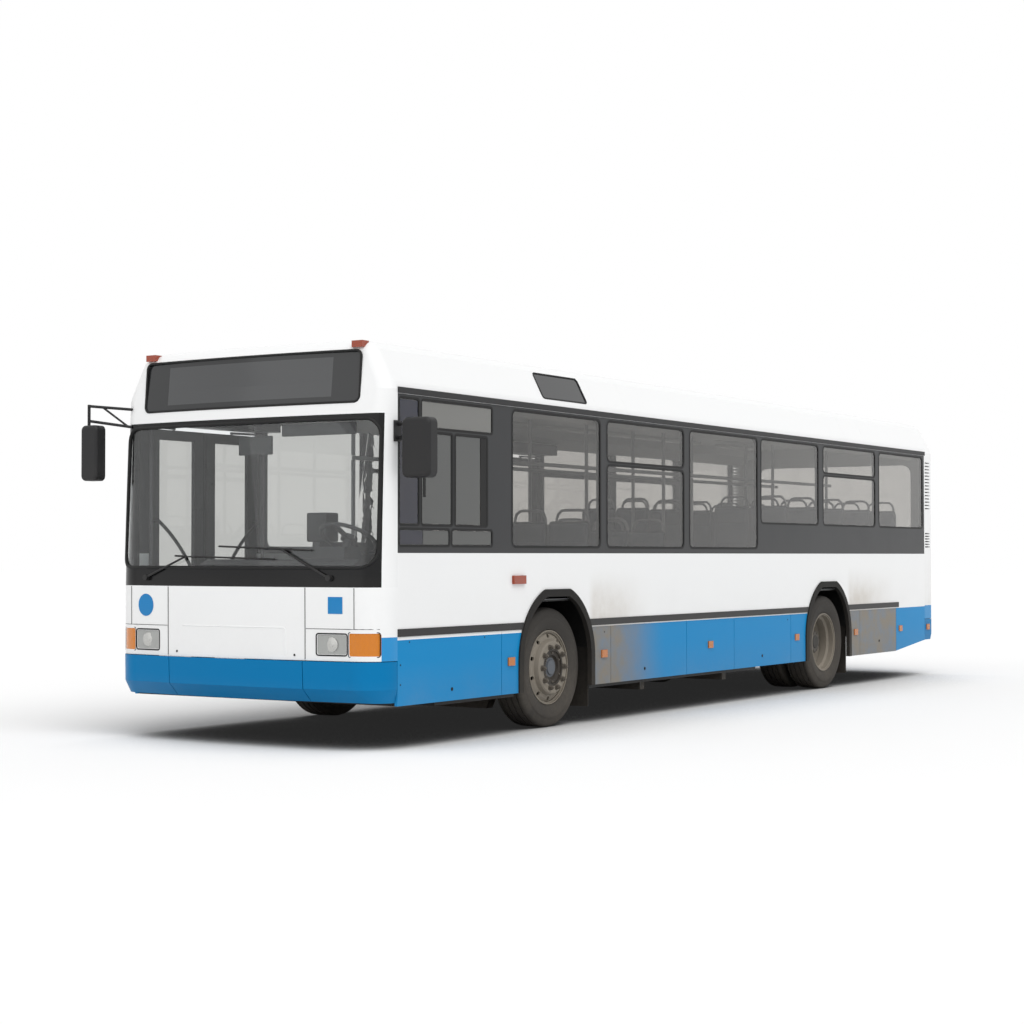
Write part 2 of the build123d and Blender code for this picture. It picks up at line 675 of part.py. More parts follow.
# Chassis: a ladder frame from the front axle back, stepped up over the rear axle
RAIL_X = (390, 470)
LOW_FRAME = (215, 280)
HIGH_FRAME = (480, 560)
FRAME_FRONT_Y = -4050
FRAME_REAR_Y = 5380
MEMBER_HALF = 50
CROSS_MEMBERS = (
    (-3950, LOW_FRAME), (-2200, LOW_FRAME), (-1500, LOW_FRAME), (-800, LOW_FRAME), (100, LOW_FRAME),
    (600, LOW_FRAME), (1640, HIGH_FRAME), (3150, HIGH_FRAME), (3900, HIGH_FRAME), (4700, HIGH_FRAME),
    (5250, HIGH_FRAME),
)
OUTRIGGERS = ((-1500, LOW_FRAME), (100, LOW_FRAME), (3900, HIGH_FRAME))
# Side view of the stretch that climbs: (along, up), its first and last edges cut on the slant
RAMP = (
    (960, LOW_FRAME[1]), (1000, LOW_FRAME[0]), (1400, HIGH_FRAME[0]), (1300, HIGH_FRAME[1]), (1060, 440),
)
low_stretch = (
    (FRAME_FRONT_Y, LOW_FRAME[0]), (RAMP[1][0] - JOINT_GAP, LOW_FRAME[0]),
    (RAMP[0][0] - JOINT_GAP, LOW_FRAME[1]), (FRAME_FRONT_Y, LOW_FRAME[1]),
)
high_stretch = (
    (RAMP[2][0] + JOINT_GAP, HIGH_FRAME[0]), (FRAME_REAR_Y, HIGH_FRAME[0]),
    (FRAME_REAR_Y, HIGH_FRAME[1]), (RAMP[3][0] + JOINT_GAP, HIGH_FRAME[1]),
)
frame = [
    side_plate(make_face(Polyline(*stretch, close=True)), *RAIL_X)
    for stretch in (low_stretch, RAMP, high_stretch)
]
for member_y, (low, high) in OUTRIGGERS:
    frame.append(panel(RAIL_X[1], INSIDE - 20, member_y - 40, member_y + 40, low, high))

# Jacking pads on the underside of the rails
JACK_PAD = 12
JACK_PAD_HALF = 60
JACK_PADS = ((-3850, LOW_FRAME[0]), (3150, HIGH_FRAME[0]))
jack_x = sum(RAIL_X) / 2
for pad_y, rail_z in JACK_PADS:
    frame.append(block(
        jack_x - JACK_PAD_HALF, jack_x + JACK_PAD_HALF, pad_y - JACK_PAD_HALF, pad_y + JACK_PAD_HALF,
        rail_z - JACK_PAD, rail_z - JOINT_GAP,
    ))
frame += mirrored(*frame)
for member_y, (low, high) in CROSS_MEMBERS:
    frame.append(panel(-RAIL_X[0], RAIL_X[0], member_y - MEMBER_HALF, member_y + MEMBER_HALF, low, high))

# Towing eyes: a nose beam bored for the front pin, and a dropped tongue for the rear one
TOW_RADIUS = 20
EYE_HEIGHT = 65
NOSE_BEAM = (450, -5396, -5270)
FRONT_PIN_Y = -5363
EYE_HALF = 60
REAR_EYE_BOTTOM = 330
REAR_HANGER = (5220, 5300)
REAR_TONGUE_END_Y = 5440
REAR_PIN_Y = 5400
beam_half, beam_front, beam_rear = NOSE_BEAM
beam_bottom = FLOOR_TOP + JOINT_GAP
nose_beam = block(-beam_half, beam_half, beam_front, beam_rear, beam_bottom, beam_bottom + EYE_HEIGHT)
nose_beam -= post(0, FRONT_PIN_Y, beam_bottom - 1, beam_bottom + EYE_HEIGHT + 1, TOW_RADIUS)
eye_top = REAR_EYE_BOTTOM + EYE_HEIGHT
tongue = block(-EYE_HALF, EYE_HALF, REAR_HANGER[0], REAR_TONGUE_END_Y, REAR_EYE_BOTTOM, eye_top)
tongue -= post(0, REAR_PIN_Y, REAR_EYE_BOTTOM - 1, eye_top + 1, TOW_RADIUS)
hanger = panel(-EYE_HALF, EYE_HALF, *REAR_HANGER, eye_top, HIGH_FRAME[0])
write("chassis_frame", *frame, nose_beam, tongue, hanger)

# Engine: one block set across the bus on the high frame, behind the lid
write("engine_block", block(-550, 550, 4650, 5330, HIGH_FRAME[1], 1240))

# Wheels and tyres
WHEEL_Z = 480
TYRE_RADIUS = 480
TYRE_HALF = 137
FRONT_TYRE_X = 1053
REAR_TYRE_X = 1078
TWIN_SPACING = 312
RIM_RADIUS = 286

# Tyre section, from the bead out to the middle of the tread: (distance from the centre plane, radius)
TYRE_SECTION = (
    (100, 287), (103, 302), (128, 340), (TYRE_HALF, 388), (130, 440), (116, 466), (96, TYRE_RADIUS),
)
# Rim section, outer side: (distance from the centre plane, radius)
RIM_OUTER = (
    (118, 298), (107, 298), (104, RIM_RADIUS), (55, RIM_RADIUS), (38, 264),
    (-32, 264), (-48, RIM_RADIUS), (-104, RIM_RADIUS), (-107, 298), (-118, 298),
)
RIM_WALL = 9


def revolved(points, x, y):
    """A body of revolution about a wheel's axis, from a closed section of (x offset, radius)."""
    section = make_face(Polyline(*[(offset, radius) for offset, radius in points], close=True))
    return Pos(x, y, WHEEL_Z) * revolve(section, Axis.X)


def tyre(x, y):
    other = [(-offset, radius) for offset, radius in reversed(TYRE_SECTION)]
    return revolved(list(TYRE_SECTION) + other, x, y)


def rim(x, y):
    inner = [(offset, radius - RIM_WALL) for offset, radius in reversed(RIM_OUTER)]
    return revolved(list(RIM_OUTER) + inner, x, y)


# Hand holes through the disc of a wheel
HOLE_COUNT = 10
FRONT_HOLE = (250, 17)
REAR_HOLE = (228, 24)
# Disc section of a front wheel, set out past its rim: (offset from the centre plane, radius)
FRONT_DISC = (
    (80, 280), (97, 272), (110, 250), (116, 226), (150, 214), (158, 204), (158, 132),
    (146, 132), (146, 200), (104, 214), (98, 246), (84, 262), (66, 280),
)
FRONT_HUB = (
    (-55, 40.05), (-55, 125), (126, 125), (126, 160), (148, 160), (148, 98), (130, 92), (130, 62),
    (142, 58), (142, 0), (75, 0), (75, 40.05),
)
# Discs of the twin wheels meet back to back between the tyres
REAR_DISC = (
    (-40, 280), (-118, 236), (-138, 206), (-156, 196), (-156, 110), (-142, 110), (-142, 190),
    (-126, 204), (-106, 228), (-28, 268), (-28, 280),
)
REAR_HUB = (
    (-240, 60.05), (-240, 150), (-175, 150), (-175, 118), (10, 114), (22, 104), (22, 70),
    (30, 62), (30, 0), (24, 0), (24, 60.05),
)


def hand_holes(wheel, hole, x, y, x0, x1):
    hole_circle, hole_radius = hole
    for number in range(HOLE_COUNT):
        angle = 2 * math.pi * (number + 0.5) / HOLE_COUNT
        hole_y = y + hole_circle * math.cos(angle)
        hole_z = WHEEL_Z + hole_circle * math.sin(angle)
        wheel -= shaft(x + x0, x + x1, hole_y, hole_z, hole_radius)
    return wheel


front_wheel = rim(FRONT_TYRE_X, FRONT_AXLE_Y) + revolved(FRONT_DISC, FRONT_TYRE_X, FRONT_AXLE_Y)
front_wheel = hand_holes(front_wheel, FRONT_HOLE, FRONT_TYRE_X, FRONT_AXLE_Y, 70, 170)
front_wheel += revolved(FRONT_HUB, FRONT_TYRE_X, FRONT_AXLE_Y)
front_tyre = tyre(FRONT_TYRE_X, FRONT_AXLE_Y)

inner_x = REAR_TYRE_X - TWIN_SPACING
rear_wheel = rim(REAR_TYRE_X, REAR_AXLE_Y) + revolved(REAR_DISC, REAR_TYRE_X, REAR_AXLE_Y)
inner_disc = [(-offset, radius) for offset, radius in REAR_DISC]
rear_wheel += rim(inner_x, REAR_AXLE_Y) + revolved(inner_disc, inner_x, REAR_AXLE_Y)
rear_wheel = hand_holes(rear_wheel, REAR_HOLE, REAR_TYRE_X, REAR_AXLE_Y, -260, -60)
rear_wheel += revolved(REAR_HUB, REAR_TYRE_X, REAR_AXLE_Y)
rear_tyres = (tyre(REAR_TYRE_X, REAR_AXLE_Y), tyre(inner_x, REAR_AXLE_Y))

for side, pieces in (("left", lambda *shapes: shapes), ("right", mirrored)):
    write(f"front_{side}_wheel", *pieces(front_wheel))
    write(f"front_{side}_tyre", *pieces(front_tyre))
    write(f"rear_{side}_wheels", *pieces(rear_wheel))
    write(f"rear_{side}_tyres", *pieces(*rear_tyres))

# Front axle: a dropped beam with an eye at each end, and a knuckle that turns in the eye
KINGPIN_X = 905
KINGPIN_RADIUS = 22
PIN_CLEARANCE = 0.05
EYE = (425, 545)
EYE_RADIUS = 50
EYE_GAP = 6
LUG = 34
LUG_HALF = 38
BEAM_HALF = (
    (600, 130), (660, 262), (820, 262), (862, 425), (862, 545), (845, 545), (790, 340),
    (668, 340), (600, 205),
)
beam_outline = list(BEAM_HALF) + [(-x, z) for x, z in reversed(BEAM_HALF)]
beam = front_plate(make_face(Polyline(*beam_outline, close=True)), FRONT_AXLE_Y - 50, FRONT_AXLE_Y + 50)
spring_seat = block(SPRING_X - 82, SPRING_X + 82, FRONT_AXLE_Y - 82, FRONT_AXLE_Y + 82, 340, 356)
eye = post(KINGPIN_X, FRONT_AXLE_Y, *EYE, EYE_RADIUS)
pin_hole = post(KINGPIN_X, FRONT_AXLE_Y, 300, 700, KINGPIN_RADIUS + PIN_CLEARANCE)
for shape in (spring_seat, eye):
    beam += shape
    beam += mirror(shape, about=Plane.YZ)
beam -= pin_hole
beam -= mirror(pin_hole, about=Plane.YZ)
write("front_axle", beam)

lower_lug, upper_lug = EYE[0] - EYE_GAP - LUG, EYE[1] + EYE_GAP + LUG
knuckle = block(960, 988, FRONT_AXLE_Y - 60, FRONT_AXLE_Y + 60, lower_lug, upper_lug)
for lug_z in (lower_lug, upper_lug - LUG):
    knuckle += post(KINGPIN_X, FRONT_AXLE_Y, lug_z, lug_z + LUG, LUG_HALF)
    knuckle += block(
        KINGPIN_X, 970, FRONT_AXLE_Y - LUG_HALF, FRONT_AXLE_Y + LUG_HALF, lug_z, lug_z + LUG
    )
knuckle += post(KINGPIN_X, FRONT_AXLE_Y, lower_lug, upper_lug, KINGPIN_RADIUS)
knuckle += shaft(980, FRONT_TYRE_X + 73, FRONT_AXLE_Y, WHEEL_Z, 40)
write("left_knuckle", knuckle)
write("right_knuckle", *mirrored(knuckle))

# Rear axle: a low tube with a differential, gear casings at its ends and spindles for the twin wheels
AXLE_TUBE_Z = 400
rear_axle = shaft(-520, 520, REAR_AXLE_Y, AXLE_TUBE_Z, 60)
rear_axle += shaft(-170, 170, REAR_AXLE_Y, AXLE_TUBE_Z, 140)
for side in (-1, 1):
    rear_axle += block(side * 485, side * 600, REAR_AXLE_Y - 110, REAR_AXLE_Y + 110, 320, 545)
    rear_axle += shaft(min(side * 590, side * 1098), max(side * 590, side * 1098), REAR_AXLE_Y, WHEEL_Z, 60)
    rear_axle += block(side * 370, side * 490, REAR_AXLE_Y - 470, REAR_AXLE_Y + 470, 340, 380)
write("rear_axle", rear_axle)

# Air springs: bellows between the axles and the body
bellows = [post(SPRING_X, FRONT_AXLE_Y, 356, SPRING_TOP, SPRING_RADIUS)]
for offset in (-380, 380):
    bellows.append(post(430, REAR_AXLE_Y + offset, 380, 480, 85))
write("air_springs", *bellows, *mirrored(*bellows))

# Doors: each leaf hangs on two arms of an upright post, swings inwards and turns square to the side
POST_X = -1172
POST_RADIUS = 14
POST_INSET = 12
LEAF_DEPTH = (-78, -42)
LEAF_START = 20
CENTRE_GAP = 6
ARM_REACH = 320
ARM_OFFSET = 60
LEAF_BOTTOM = 392
LEAF_TOP = 2370
LOWER_ARM = (366, 384)
UPPER_ARM = (2376, 2394)
ARM_HALF = 13
ARM_PIN = 10
PIN_DEPTH = 30
PANE_MARGIN = 118
PANE = (480, 2290)
BEARING = (340, 360)
COVER = (2402, 2500)
RAIL_RADIUS = 14


def door_leaf(jamb_y, direction, half_opening):
    """Post with arms, leaf frame with its grab rail, and pane, closed; direction points to the other leaf."""
    post_y = jamb_y - direction * POST_INSET
    lead = POST_INSET + half_opening - CENTRE_GAP

    def along(distance):
        return post_y + direction * distance

    def slab(v0, v1, z0, z1, u0, u1):
        return block(POST_X + u0, POST_X + u1, along(v0), along(v1), z0, z1)

    arms = post(POST_X, post_y, BEARING[0] + 1, COVER[0] + 18, POST_RADIUS)
    pin_x, pin_y = POST_X - ARM_OFFSET, along(ARM_REACH)
    for low, high in (LOWER_ARM, UPPER_ARM):
        link = make_face(Polyline(
            (POST_X - ARM_HALF, post_y), (POST_X + ARM_HALF, post_y),
            (pin_x + ARM_HALF, pin_y), (pin_x - ARM_HALF, pin_y), close=True,
        ))
        arms += extrude(Plane.XY.offset(low) * link, amount=high - low)
        arms += post(pin_x, pin_y, low, high, 16)
        arms += post(POST_X, post_y, low, high, 20)
    arms += post(pin_x, pin_y, LOWER_ARM[0], LEAF_BOTTOM + PIN_DEPTH, ARM_PIN)
    arms += post(pin_x, pin_y, LEAF_TOP - PIN_DEPTH, UPPER_ARM[1], ARM_PIN)

    depth0, depth1 = LEAF_DEPTH
    edge = (depth1 - depth0) / 2
    leaf = slab(LEAF_START, lead - edge, LEAF_BOTTOM, LEAF_TOP, depth0, depth1)
    leaf += post(POST_X + depth0 + edge, along(lead - edge), LEAF_BOTTOM, LEAF_TOP, edge)
    pane_y0, pane_y1 = LEAF_START + PANE_MARGIN, lead - PANE_MARGIN
    leaf -= slab(pane_y0, pane_y1, *PANE, depth0 - 1, depth1 + 1)
    bore_depth = PIN_DEPTH + 2
    for low, high in ((LEAF_BOTTOM - 1, LEAF_BOTTOM + bore_depth), (LEAF_TOP - bore_depth, LEAF_TOP + 1)):
        leaf -= post(pin_x, pin_y, low, high, ARM_PIN + PIN_CLEARANCE)
    pane = slab(pane_y0, pane_y1, *PANE, -63, -57)

    rail_x = POST_X + 12
    start, middle, end = (along(70), 1650), (along(330), 1430), (along(lead - 70), 1000)
    curve = ThreePointArc((rail_x, *start), (rail_x, *middle), (rail_x, *end))
    leaf += sweep(Plane(origin=curve @ 0, z_dir=curve % 0) * Circle(RAIL_RADIUS), path=curve)
    for rail_y, rail_z in (start, end):
        leaf += shaft(POST_X + depth1, rail_x, rail_y, rail_z, RAIL_RADIUS)
    return arms, leaf, pane


gear = list(headers)
for door, door_front, door_rear in DOORWAYS:
    half_opening = (door_rear - door_front) / 2
    cover = block(1 - INSIDE, -1010, door_front, door_rear, *COVER)
    for leaf_name, jamb_y, direction in (("front_leaf", door_front, 1), ("rear_leaf", door_rear, -1)):
        arms, leaf, pane = door_leaf(jamb_y, direction, half_opening)
        write(f"{door}_{leaf_name}_arms", arms)
        write(f"{door}_{leaf_name}", leaf)
        write(f"{door}_{leaf_name}_pane", pane)
        post_y = jamb_y - direction * POST_INSET
        bore = POST_RADIUS + PIN_CLEARANCE
        gear.append(post(POST_X, post_y, *BEARING, 26) - post(POST_X, post_y, 300, 400, bore))
        cover += block(1 - INSIDE, -1010, post_y - 40, post_y + 40, *COVER)
        cover -= post(POST_X, post_y, COVER[0] - 1, COVER[0] + 20, bore)
    gear.append(cover)
write("door_gear", *gear)

# Mirrors: housings on arms at the front corners, both reaching equally far out
MIRROR_REACH = 1575
left_head = block(1330, MIRROR_REACH, -5300, -5200, 1925, 2350)
left_head = fillet(left_head.edges().filter_by(Axis.Y), 45)
left_head = fillet(left_head.faces().sort_by(Axis.Y)[0].edges(), 25)
left_mirror = left_head + bar((1252, -5225, 2310), (1345, -5240, 2310), 14)
left_mirror += bar((1252, -5225, 2210), (1345, -5240, 2210), 14)
left_mirror += block(1250, 1262, -5275, -5195, 2185, 2335)
right_head = block(-MIRROR_REACH, -1405, -5500, -5400, 1955, 2385)
right_head = fillet(right_head.edges().filter_by(Axis.Y), 40)
right_head = fillet(right_head.faces().sort_by(Axis.Y)[0].edges(), 25)
ROOT = (-1160, -5365)
ELBOW = (-1520, -5460)
right_mirror = right_head
for root_z, elbow_z in ((2500, 2535), (2365, 2420)):
    right_mirror += bar((*ROOT, root_z), (*ELBOW, elbow_z), 11)
right_mirror += bar((*ELBOW, 2370), (*ELBOW, 2546), 12)
right_mirror += bar((-1195, -5360, 2365), (-1400, -5430, 2520), 8)
right_mirror -= front_form()
write("mirrors", left_mirror, right_mirror)

# Wipers: a spindle, a long arm and a blade for each half of the windscreen
PIVOT_RADIUS = 22
ARM_STANDOFF = 18
ARM_RADIUS = 8
BLADE_STANDOFF = 6
BLADE_RADIUS = 7
LINK_RADIUS = 5
CAP = 4
# Wipers: (pivot, end of the arm, start of the blade, end of the blade), each as across and up
WIPERS = (
    ((-879, 1214), (-481, 1365), (-584, 1376), (375, 1351)),
    ((855, 1218), (439, 1423), (-147, 1446), (694, 1415)),
)


def before_front(place, standoff):
    """A point that stands off the outside of the front."""
    x, z = place
    return (x, front_face_y(x, z) - standoff, z)


def swept(points, radius):
    """A round bar along an arc through three points."""
    curve = ThreePointArc(*points)
    return sweep(Plane(origin=curve @ 0, z_dir=curve % 0) * Circle(radius), path=curve)


wipers = []
for pivot, arm_end, blade_start, blade_end in WIPERS:
    middle = tuple((first + last) / 2 for first, last in zip(blade_start, blade_end))
    pivot_y = front_face_y(*pivot)
    plate_y = pivot_y - ARM_STANDOFF - ARM_RADIUS - CAP
    wiper = front_plate(Pos(*pivot) * Circle(PIVOT_RADIUS), plate_y, pivot_y + 30) - front_form()
    wiper += bar(before_front(pivot, ARM_STANDOFF), before_front(arm_end, ARM_STANDOFF), ARM_RADIUS)
    wiper += bar(before_front(arm_end, ARM_STANDOFF), before_front(arm_end, BLADE_STANDOFF), LINK_RADIUS)
    blade = [before_front(place, BLADE_STANDOFF) for place in (blade_start, middle, blade_end)]
    wipers.append(wiper + swept(blade, BLADE_RADIUS))
write("wipers", *wipers)

# Side markers: amber lamps along the skirts, a repeater on the wall and a red one at the rear corner
MARKERS = (
    (-3729, 560), (-2282, 560), (-311, 560), (1615, 560), (3138, 560), (4432, 560), (5299, 551),
)
REPEATER = (-3711, -3536, 1156, 1222)
ROOF_LAMP = (935, 1030, -5350, -5270, 2862, 2910)


def side_lamps(side, rows):
    """The marker lamps of one side, and its repeater."""
    lamps = []
    for marker_y, marker_z in rows:
        lamps.append(block(
            side * HALF, side * (HALF + 12), marker_y - 45, marker_y + 45, marker_z - 32, marker_z + 32
        ))
    return lamps + [block(side * HALF, side * (HALF + 22), *REPEATER)]


def in_doorway(y):
    return any(door_front < y < door_rear for _, door_front, door_rear in DOORWAYS)


right_markers = [row for row in MARKERS if not in_doorway(row[0])]
roof_lamp = block(*ROOF_LAMP) - front_form()
write(
    "side_markers", *side_lamps(1, MARKERS), *side_lamps(-1, right_markers), roof_lamp, *mirrored(roof_lamp)
)

# Passenger seats in pairs: cushions and backs on a pedestal, with a grab handle behind each back
SEAT_WIDTH = 410
SEAT_X = (575, 990)
PEDESTAL = (620, 950, -300, -60)
CUSHION_DEPTH = 440
CUSHION_HEIGHT = (370, 440)
BACK_HEIGHT = (400, 1000)
BACK_RADIUS = 90
BACK_FRONT = -10
BACK_REAR = 45
GRIP_TUBE = 26
GRIP_INSET = 40
GRIP_HEIGHT = (900, 1105)
GRIP_RADIUS = 80
# Rows: (back, seat base height, height of what carries the pedestal)
LEFT_ROWS = (
    (-2420, 665, BOX_TOP), (-1750, 600, PLATFORM_TOP), (-1080, 600, PLATFORM_TOP),
)
RIGHT_ROWS = (
    (-1850, 600, PLATFORM_TOP), (-1180, 600, PLATFORM_TOP),
)
REAR_ROWS = (
    (1530, 880, REAR_FLOOR_TOP), (2260, 880, BOX_TOP), (2990, 880, BOX_TOP),
    (3720, 880, REAR_FLOOR_TOP), (4450, 880, REAR_FLOOR_TOP),
)


def seat_grip(left, right, base_z):
    """The outline of a handle: two round-shouldered legs and a straight bar between them."""
    low, high = base_z + GRIP_HEIGHT[0], base_z + GRIP_HEIGHT[1]
    inner_radius = GRIP_RADIUS - GRIP_TUBE
    grip = area(left, right, low - GRIP_RADIUS, high, GRIP_RADIUS)
    grip -= area(left + GRIP_TUBE, right - GRIP_TUBE, low - 2 * GRIP_RADIUS, high - GRIP_TUBE, inner_radius)
    grip -= area(left - 1, right + 1, low - 3 * GRIP_RADIUS, low)
    for joint_x in (left + GRIP_RADIUS, right - GRIP_RADIUS):
        grip -= area(joint_x - JOINT_GAP / 2, joint_x + JOINT_GAP / 2, low, high + 1)
    return grip


def seat_pair(back_y, base_z, foot_z):
    """Two forward-facing seats side by side, their backs at back_y."""
    foot_x0, foot_x1, foot_y0, foot_y1 = PEDESTAL
    cushion_low, cushion_high = (base_z + height for height in CUSHION_HEIGHT)
    pieces = [panel(foot_x0, foot_x1, back_y + foot_y0, back_y + foot_y1, foot_z, cushion_low)]
    for seat_x in SEAT_X:
        left, right = seat_x - SEAT_WIDTH / 2, seat_x + SEAT_WIDTH / 2
        pieces.append(panel(
            left, right, back_y - CUSHION_DEPTH, back_y + BACK_FRONT, cushion_low, cushion_high
        ))
        back = area(left, right, base_z + BACK_HEIGHT[0], base_z + BACK_HEIGHT[1], BACK_RADIUS)
        pieces.append(front_plate(back, back_y + BACK_FRONT, back_y + BACK_REAR))
        grip_y = back_y + BACK_REAR + JOINT_GAP
        grip = seat_grip(left + GRIP_INSET, right - GRIP_INSET, base_z)
        pieces.append(front_plate(grip, grip_y, grip_y + GRIP_TUBE))
    return pieces


seats = []
for row in LEFT_ROWS:
    seats += seat_pair(*row)
for row in RIGHT_ROWS:
    seats += mirrored(*seat_pair(*row))
for row in REAR_ROWS:
    pair = seat_pair(*row)
    seats += pair + mirrored(*pair)
write("passenger_seats", *seats)

# Driver's place: seat, dashboard with the steering wheel, and the partition behind it
DRIVER_X = 620
DRIVER_PEDESTAL = (170, -4600, -4300)
DRIVER_CUSHION = (245, -4720, -4290)
DRIVER_CUSHION_HEIGHT = (1050, 1180)
DRIVER_BACK = (235, 1150, 1800, 110)
DRIVER_BACK_DEPTH = (-4290, -4190)
HEADREST = (130, 1800 + JOINT_GAP, 1960, 60)
HEADREST_DEPTH = (-4275, -4205)


def driver_plate(half, low, high, radius, depth):
    """A round-cornered upright cushion of the driver's seat."""
    return front_plate(area(DRIVER_X - half, DRIVER_X + half, low, high, radius), *depth)


half, front, rear = DRIVER_PEDESTAL
driver_seat = [panel(DRIVER_X - half, DRIVER_X + half, front, rear, CAB_FLOOR, DRIVER_CUSHION_HEIGHT[0])]
half, front, rear = DRIVER_CUSHION
driver_seat.append(panel(DRIVER_X - half, DRIVER_X + half, front, rear, *DRIVER_CUSHION_HEIGHT))
driver_seat.append(driver_plate(*DRIVER_BACK, DRIVER_BACK_DEPTH))
driver_seat.append(driver_plate(*HEADREST, HEADREST_DEPTH))
write("driver_seat", *driver_seat)

DASH_X = (-420, 1000)
dash_side = make_face(Polyline(
    (-5425, 700), (-5425, 1310), (-5330, 1350), (-5110, 1270), (-5080, 1120), (-5200, 700), close=True,
))
dashboard = side_plate(dash_side, *DASH_X)
dashboard += side_plate(make_face(Polyline(
    (-5330, 1300), (-5330, 1440), (-5160, 1440), (-5060, 1250), (-5060, 1150), close=True,
)), 380, 860)
dashboard += block(-980, -400, -5425, -5330, 1140, 1280)
dashboard += block(250, 1000, -5195, -5085, CAB_FLOOR, 1200)
STEER_CENTRE = Vector(DRIVER_X, -4960, 1500)
STEER_RADIUS = 215
steer_plane = Plane(origin=STEER_CENTRE, z_dir=(0, 0.5, 0.87))
dashboard += steer_plane * Torus(STEER_RADIUS, 15)
dashboard += steer_plane * Box(2 * STEER_RADIUS, 44, 16)
dashboard += steer_plane * Cylinder(60, 34)
dashboard += bar((DRIVER_X, -4960, 1500), (DRIVER_X, -5120, 1222), 28)
write("dashboard", dashboard)

# Partition behind the driver: a low wall and a crossbar beside a post, and a screen along the aisle
PARTITION_Y = (-3740, -3710)
PARTITION_POST_X = (260, 290)
PARTITION_WALL_TOP = 1520
PARTITION_POST_TOP = 2500
CROSSBAR = (2180, 2230)
AISLE_SCREEN = (260, 285, -4880, -3740)
AISLE_SCREEN_TOP = 1480
post_x0, post_x1 = PARTITION_POST_X
write(
    "cab_partition",
    panel(post_x1, INSIDE - 5, *PARTITION_Y, CAB_FLOOR, PARTITION_WALL_TOP),
    panel(post_x0, post_x1, *PARTITION_Y, CAB_FLOOR, PARTITION_POST_TOP),
    panel(post_x1, INSIDE - 5, *PARTITION_Y, *CROSSBAR),
    panel(*AISLE_SCREEN, CAB_FLOOR, AISLE_SCREEN_TOP),
)

# Handrails: stanchions beside the aisle and two long rails under the ceiling
STANCHION_RADIUS = 17
AISLE_RAIL_X = 335
AISLE_RAIL_Z = 2180
STANCHIONS = (
    (-1, -3640, FLOOR_TOP), (-1, -2380, FLOOR_TOP), (1, -2380, FLOOR_TOP), (1, -1000, FLOOR_TOP),
    (-1, -900, FLOOR_TOP), (1, 500, FLOOR_TOP), (-1, 1100, REAR_FLOOR_TOP), (1, 1100, REAR_FLOOR_TOP),
    (-1, 2300, REAR_FLOOR_TOP), (1, 3030, REAR_FLOOR_TOP), (-1, 3760, REAR_FLOOR_TOP),
    (1, 4490, REAR_FLOOR_TOP),
)
STANCHION_TOP = 2650
LONG_RAIL_Y = (-3640, 4600)
handrails = []
for side in (-1, 1):
    rail_front, rail_rear = [(side * AISLE_RAIL_X, rail_y, AISLE_RAIL_Z) for rail_y in LONG_RAIL_Y]
    handrails.append(bar(rail_front, rail_rear, STANCHION_RADIUS))
rail_clear = STANCHION_RADIUS + JOINT_GAP
for side, stanchion_y, foot_z in STANCHIONS:
    x = side * AISLE_RAIL_X
    handrails.append(post(x, stanchion_y, foot_z, AISLE_RAIL_Z - rail_clear, STANCHION_RADIUS))
    handrails.append(post(x, stanchion_y, AISLE_RAIL_Z + rail_clear, STANCHION_TOP, STANCHION_RADIUS))
write("handrails", *handrails)
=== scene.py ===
import math

import bmesh
import bpy
from mathutils import Matrix, Vector


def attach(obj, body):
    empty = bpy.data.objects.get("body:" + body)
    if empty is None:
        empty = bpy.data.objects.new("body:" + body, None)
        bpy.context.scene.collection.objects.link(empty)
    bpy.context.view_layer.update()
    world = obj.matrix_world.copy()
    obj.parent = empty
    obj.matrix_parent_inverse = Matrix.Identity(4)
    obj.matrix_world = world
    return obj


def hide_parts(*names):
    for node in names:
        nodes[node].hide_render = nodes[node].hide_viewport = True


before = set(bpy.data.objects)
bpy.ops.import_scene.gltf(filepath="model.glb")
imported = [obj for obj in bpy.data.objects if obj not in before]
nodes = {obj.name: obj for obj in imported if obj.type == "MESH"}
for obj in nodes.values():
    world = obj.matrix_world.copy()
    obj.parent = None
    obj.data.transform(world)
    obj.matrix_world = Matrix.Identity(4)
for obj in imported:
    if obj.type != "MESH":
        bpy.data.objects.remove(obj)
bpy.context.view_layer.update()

# Camera
# A long lens at head height, off the driver's front corner, tilted up a little.
camera = bpy.data.objects.new("camera", bpy.data.cameras.new("camera"))
camera.data.lens = 68.93
camera.data.sensor_width = 36
camera.data.clip_end = 300
camera.location = (9.3652, -16.5208, 1.375)
camera.rotation_euler = (math.radians(91.2792), math.radians(0.0294), math.radians(32.3562))
bpy.context.scene.collection.objects.link(camera)
bpy.context.scene.camera = camera
bpy.context.scene.view_settings.view_transform = "Standard"

# Studio
# A white room with a pale floor that keeps the shadow, lit from all round and by two broad lamps.
# Under and round the bus the floor's colour also carries painted shade.
SKY_LIGHT = 0.60
FLOOR_SIZE = 240
FLOOR_COLOUR = (0.92, 0.92, 0.92)
FLOOR_LIFT = 0.02
SHADE_REACH = 2.4
SHADE_RANGE = (0.12, 0.80, 0.03, 1.0)
LAMPS = (
    ("key_lamp", 1.60, 50, (35, 0, 62)),
    ("front_lamp", 0.42, 70, (60, 0, -8)),
)


def add_node(tree, kind, operation=None, **values):
    """A node with its operation and the given input values; a value may be another node's output."""
    made = tree.nodes.new(kind)
    if operation:
        made.operation = operation
    for key, value in values.items():
        socket = made.inputs[int(key[1:])] if key[1:].isdigit() else made.inputs[key.replace("_", " ")]
        if isinstance(value, bpy.types.NodeSocket):
            tree.links.new(value, socket)
        else:
            socket.default_value = value
    return made


def calc(tree, operation, *values):
    """One step of arithmetic on numbers or other nodes' outputs."""
    inputs = {f"i{place}": value for place, value in enumerate(values)}
    return add_node(tree, "ShaderNodeMath", operation, **inputs).outputs[0]


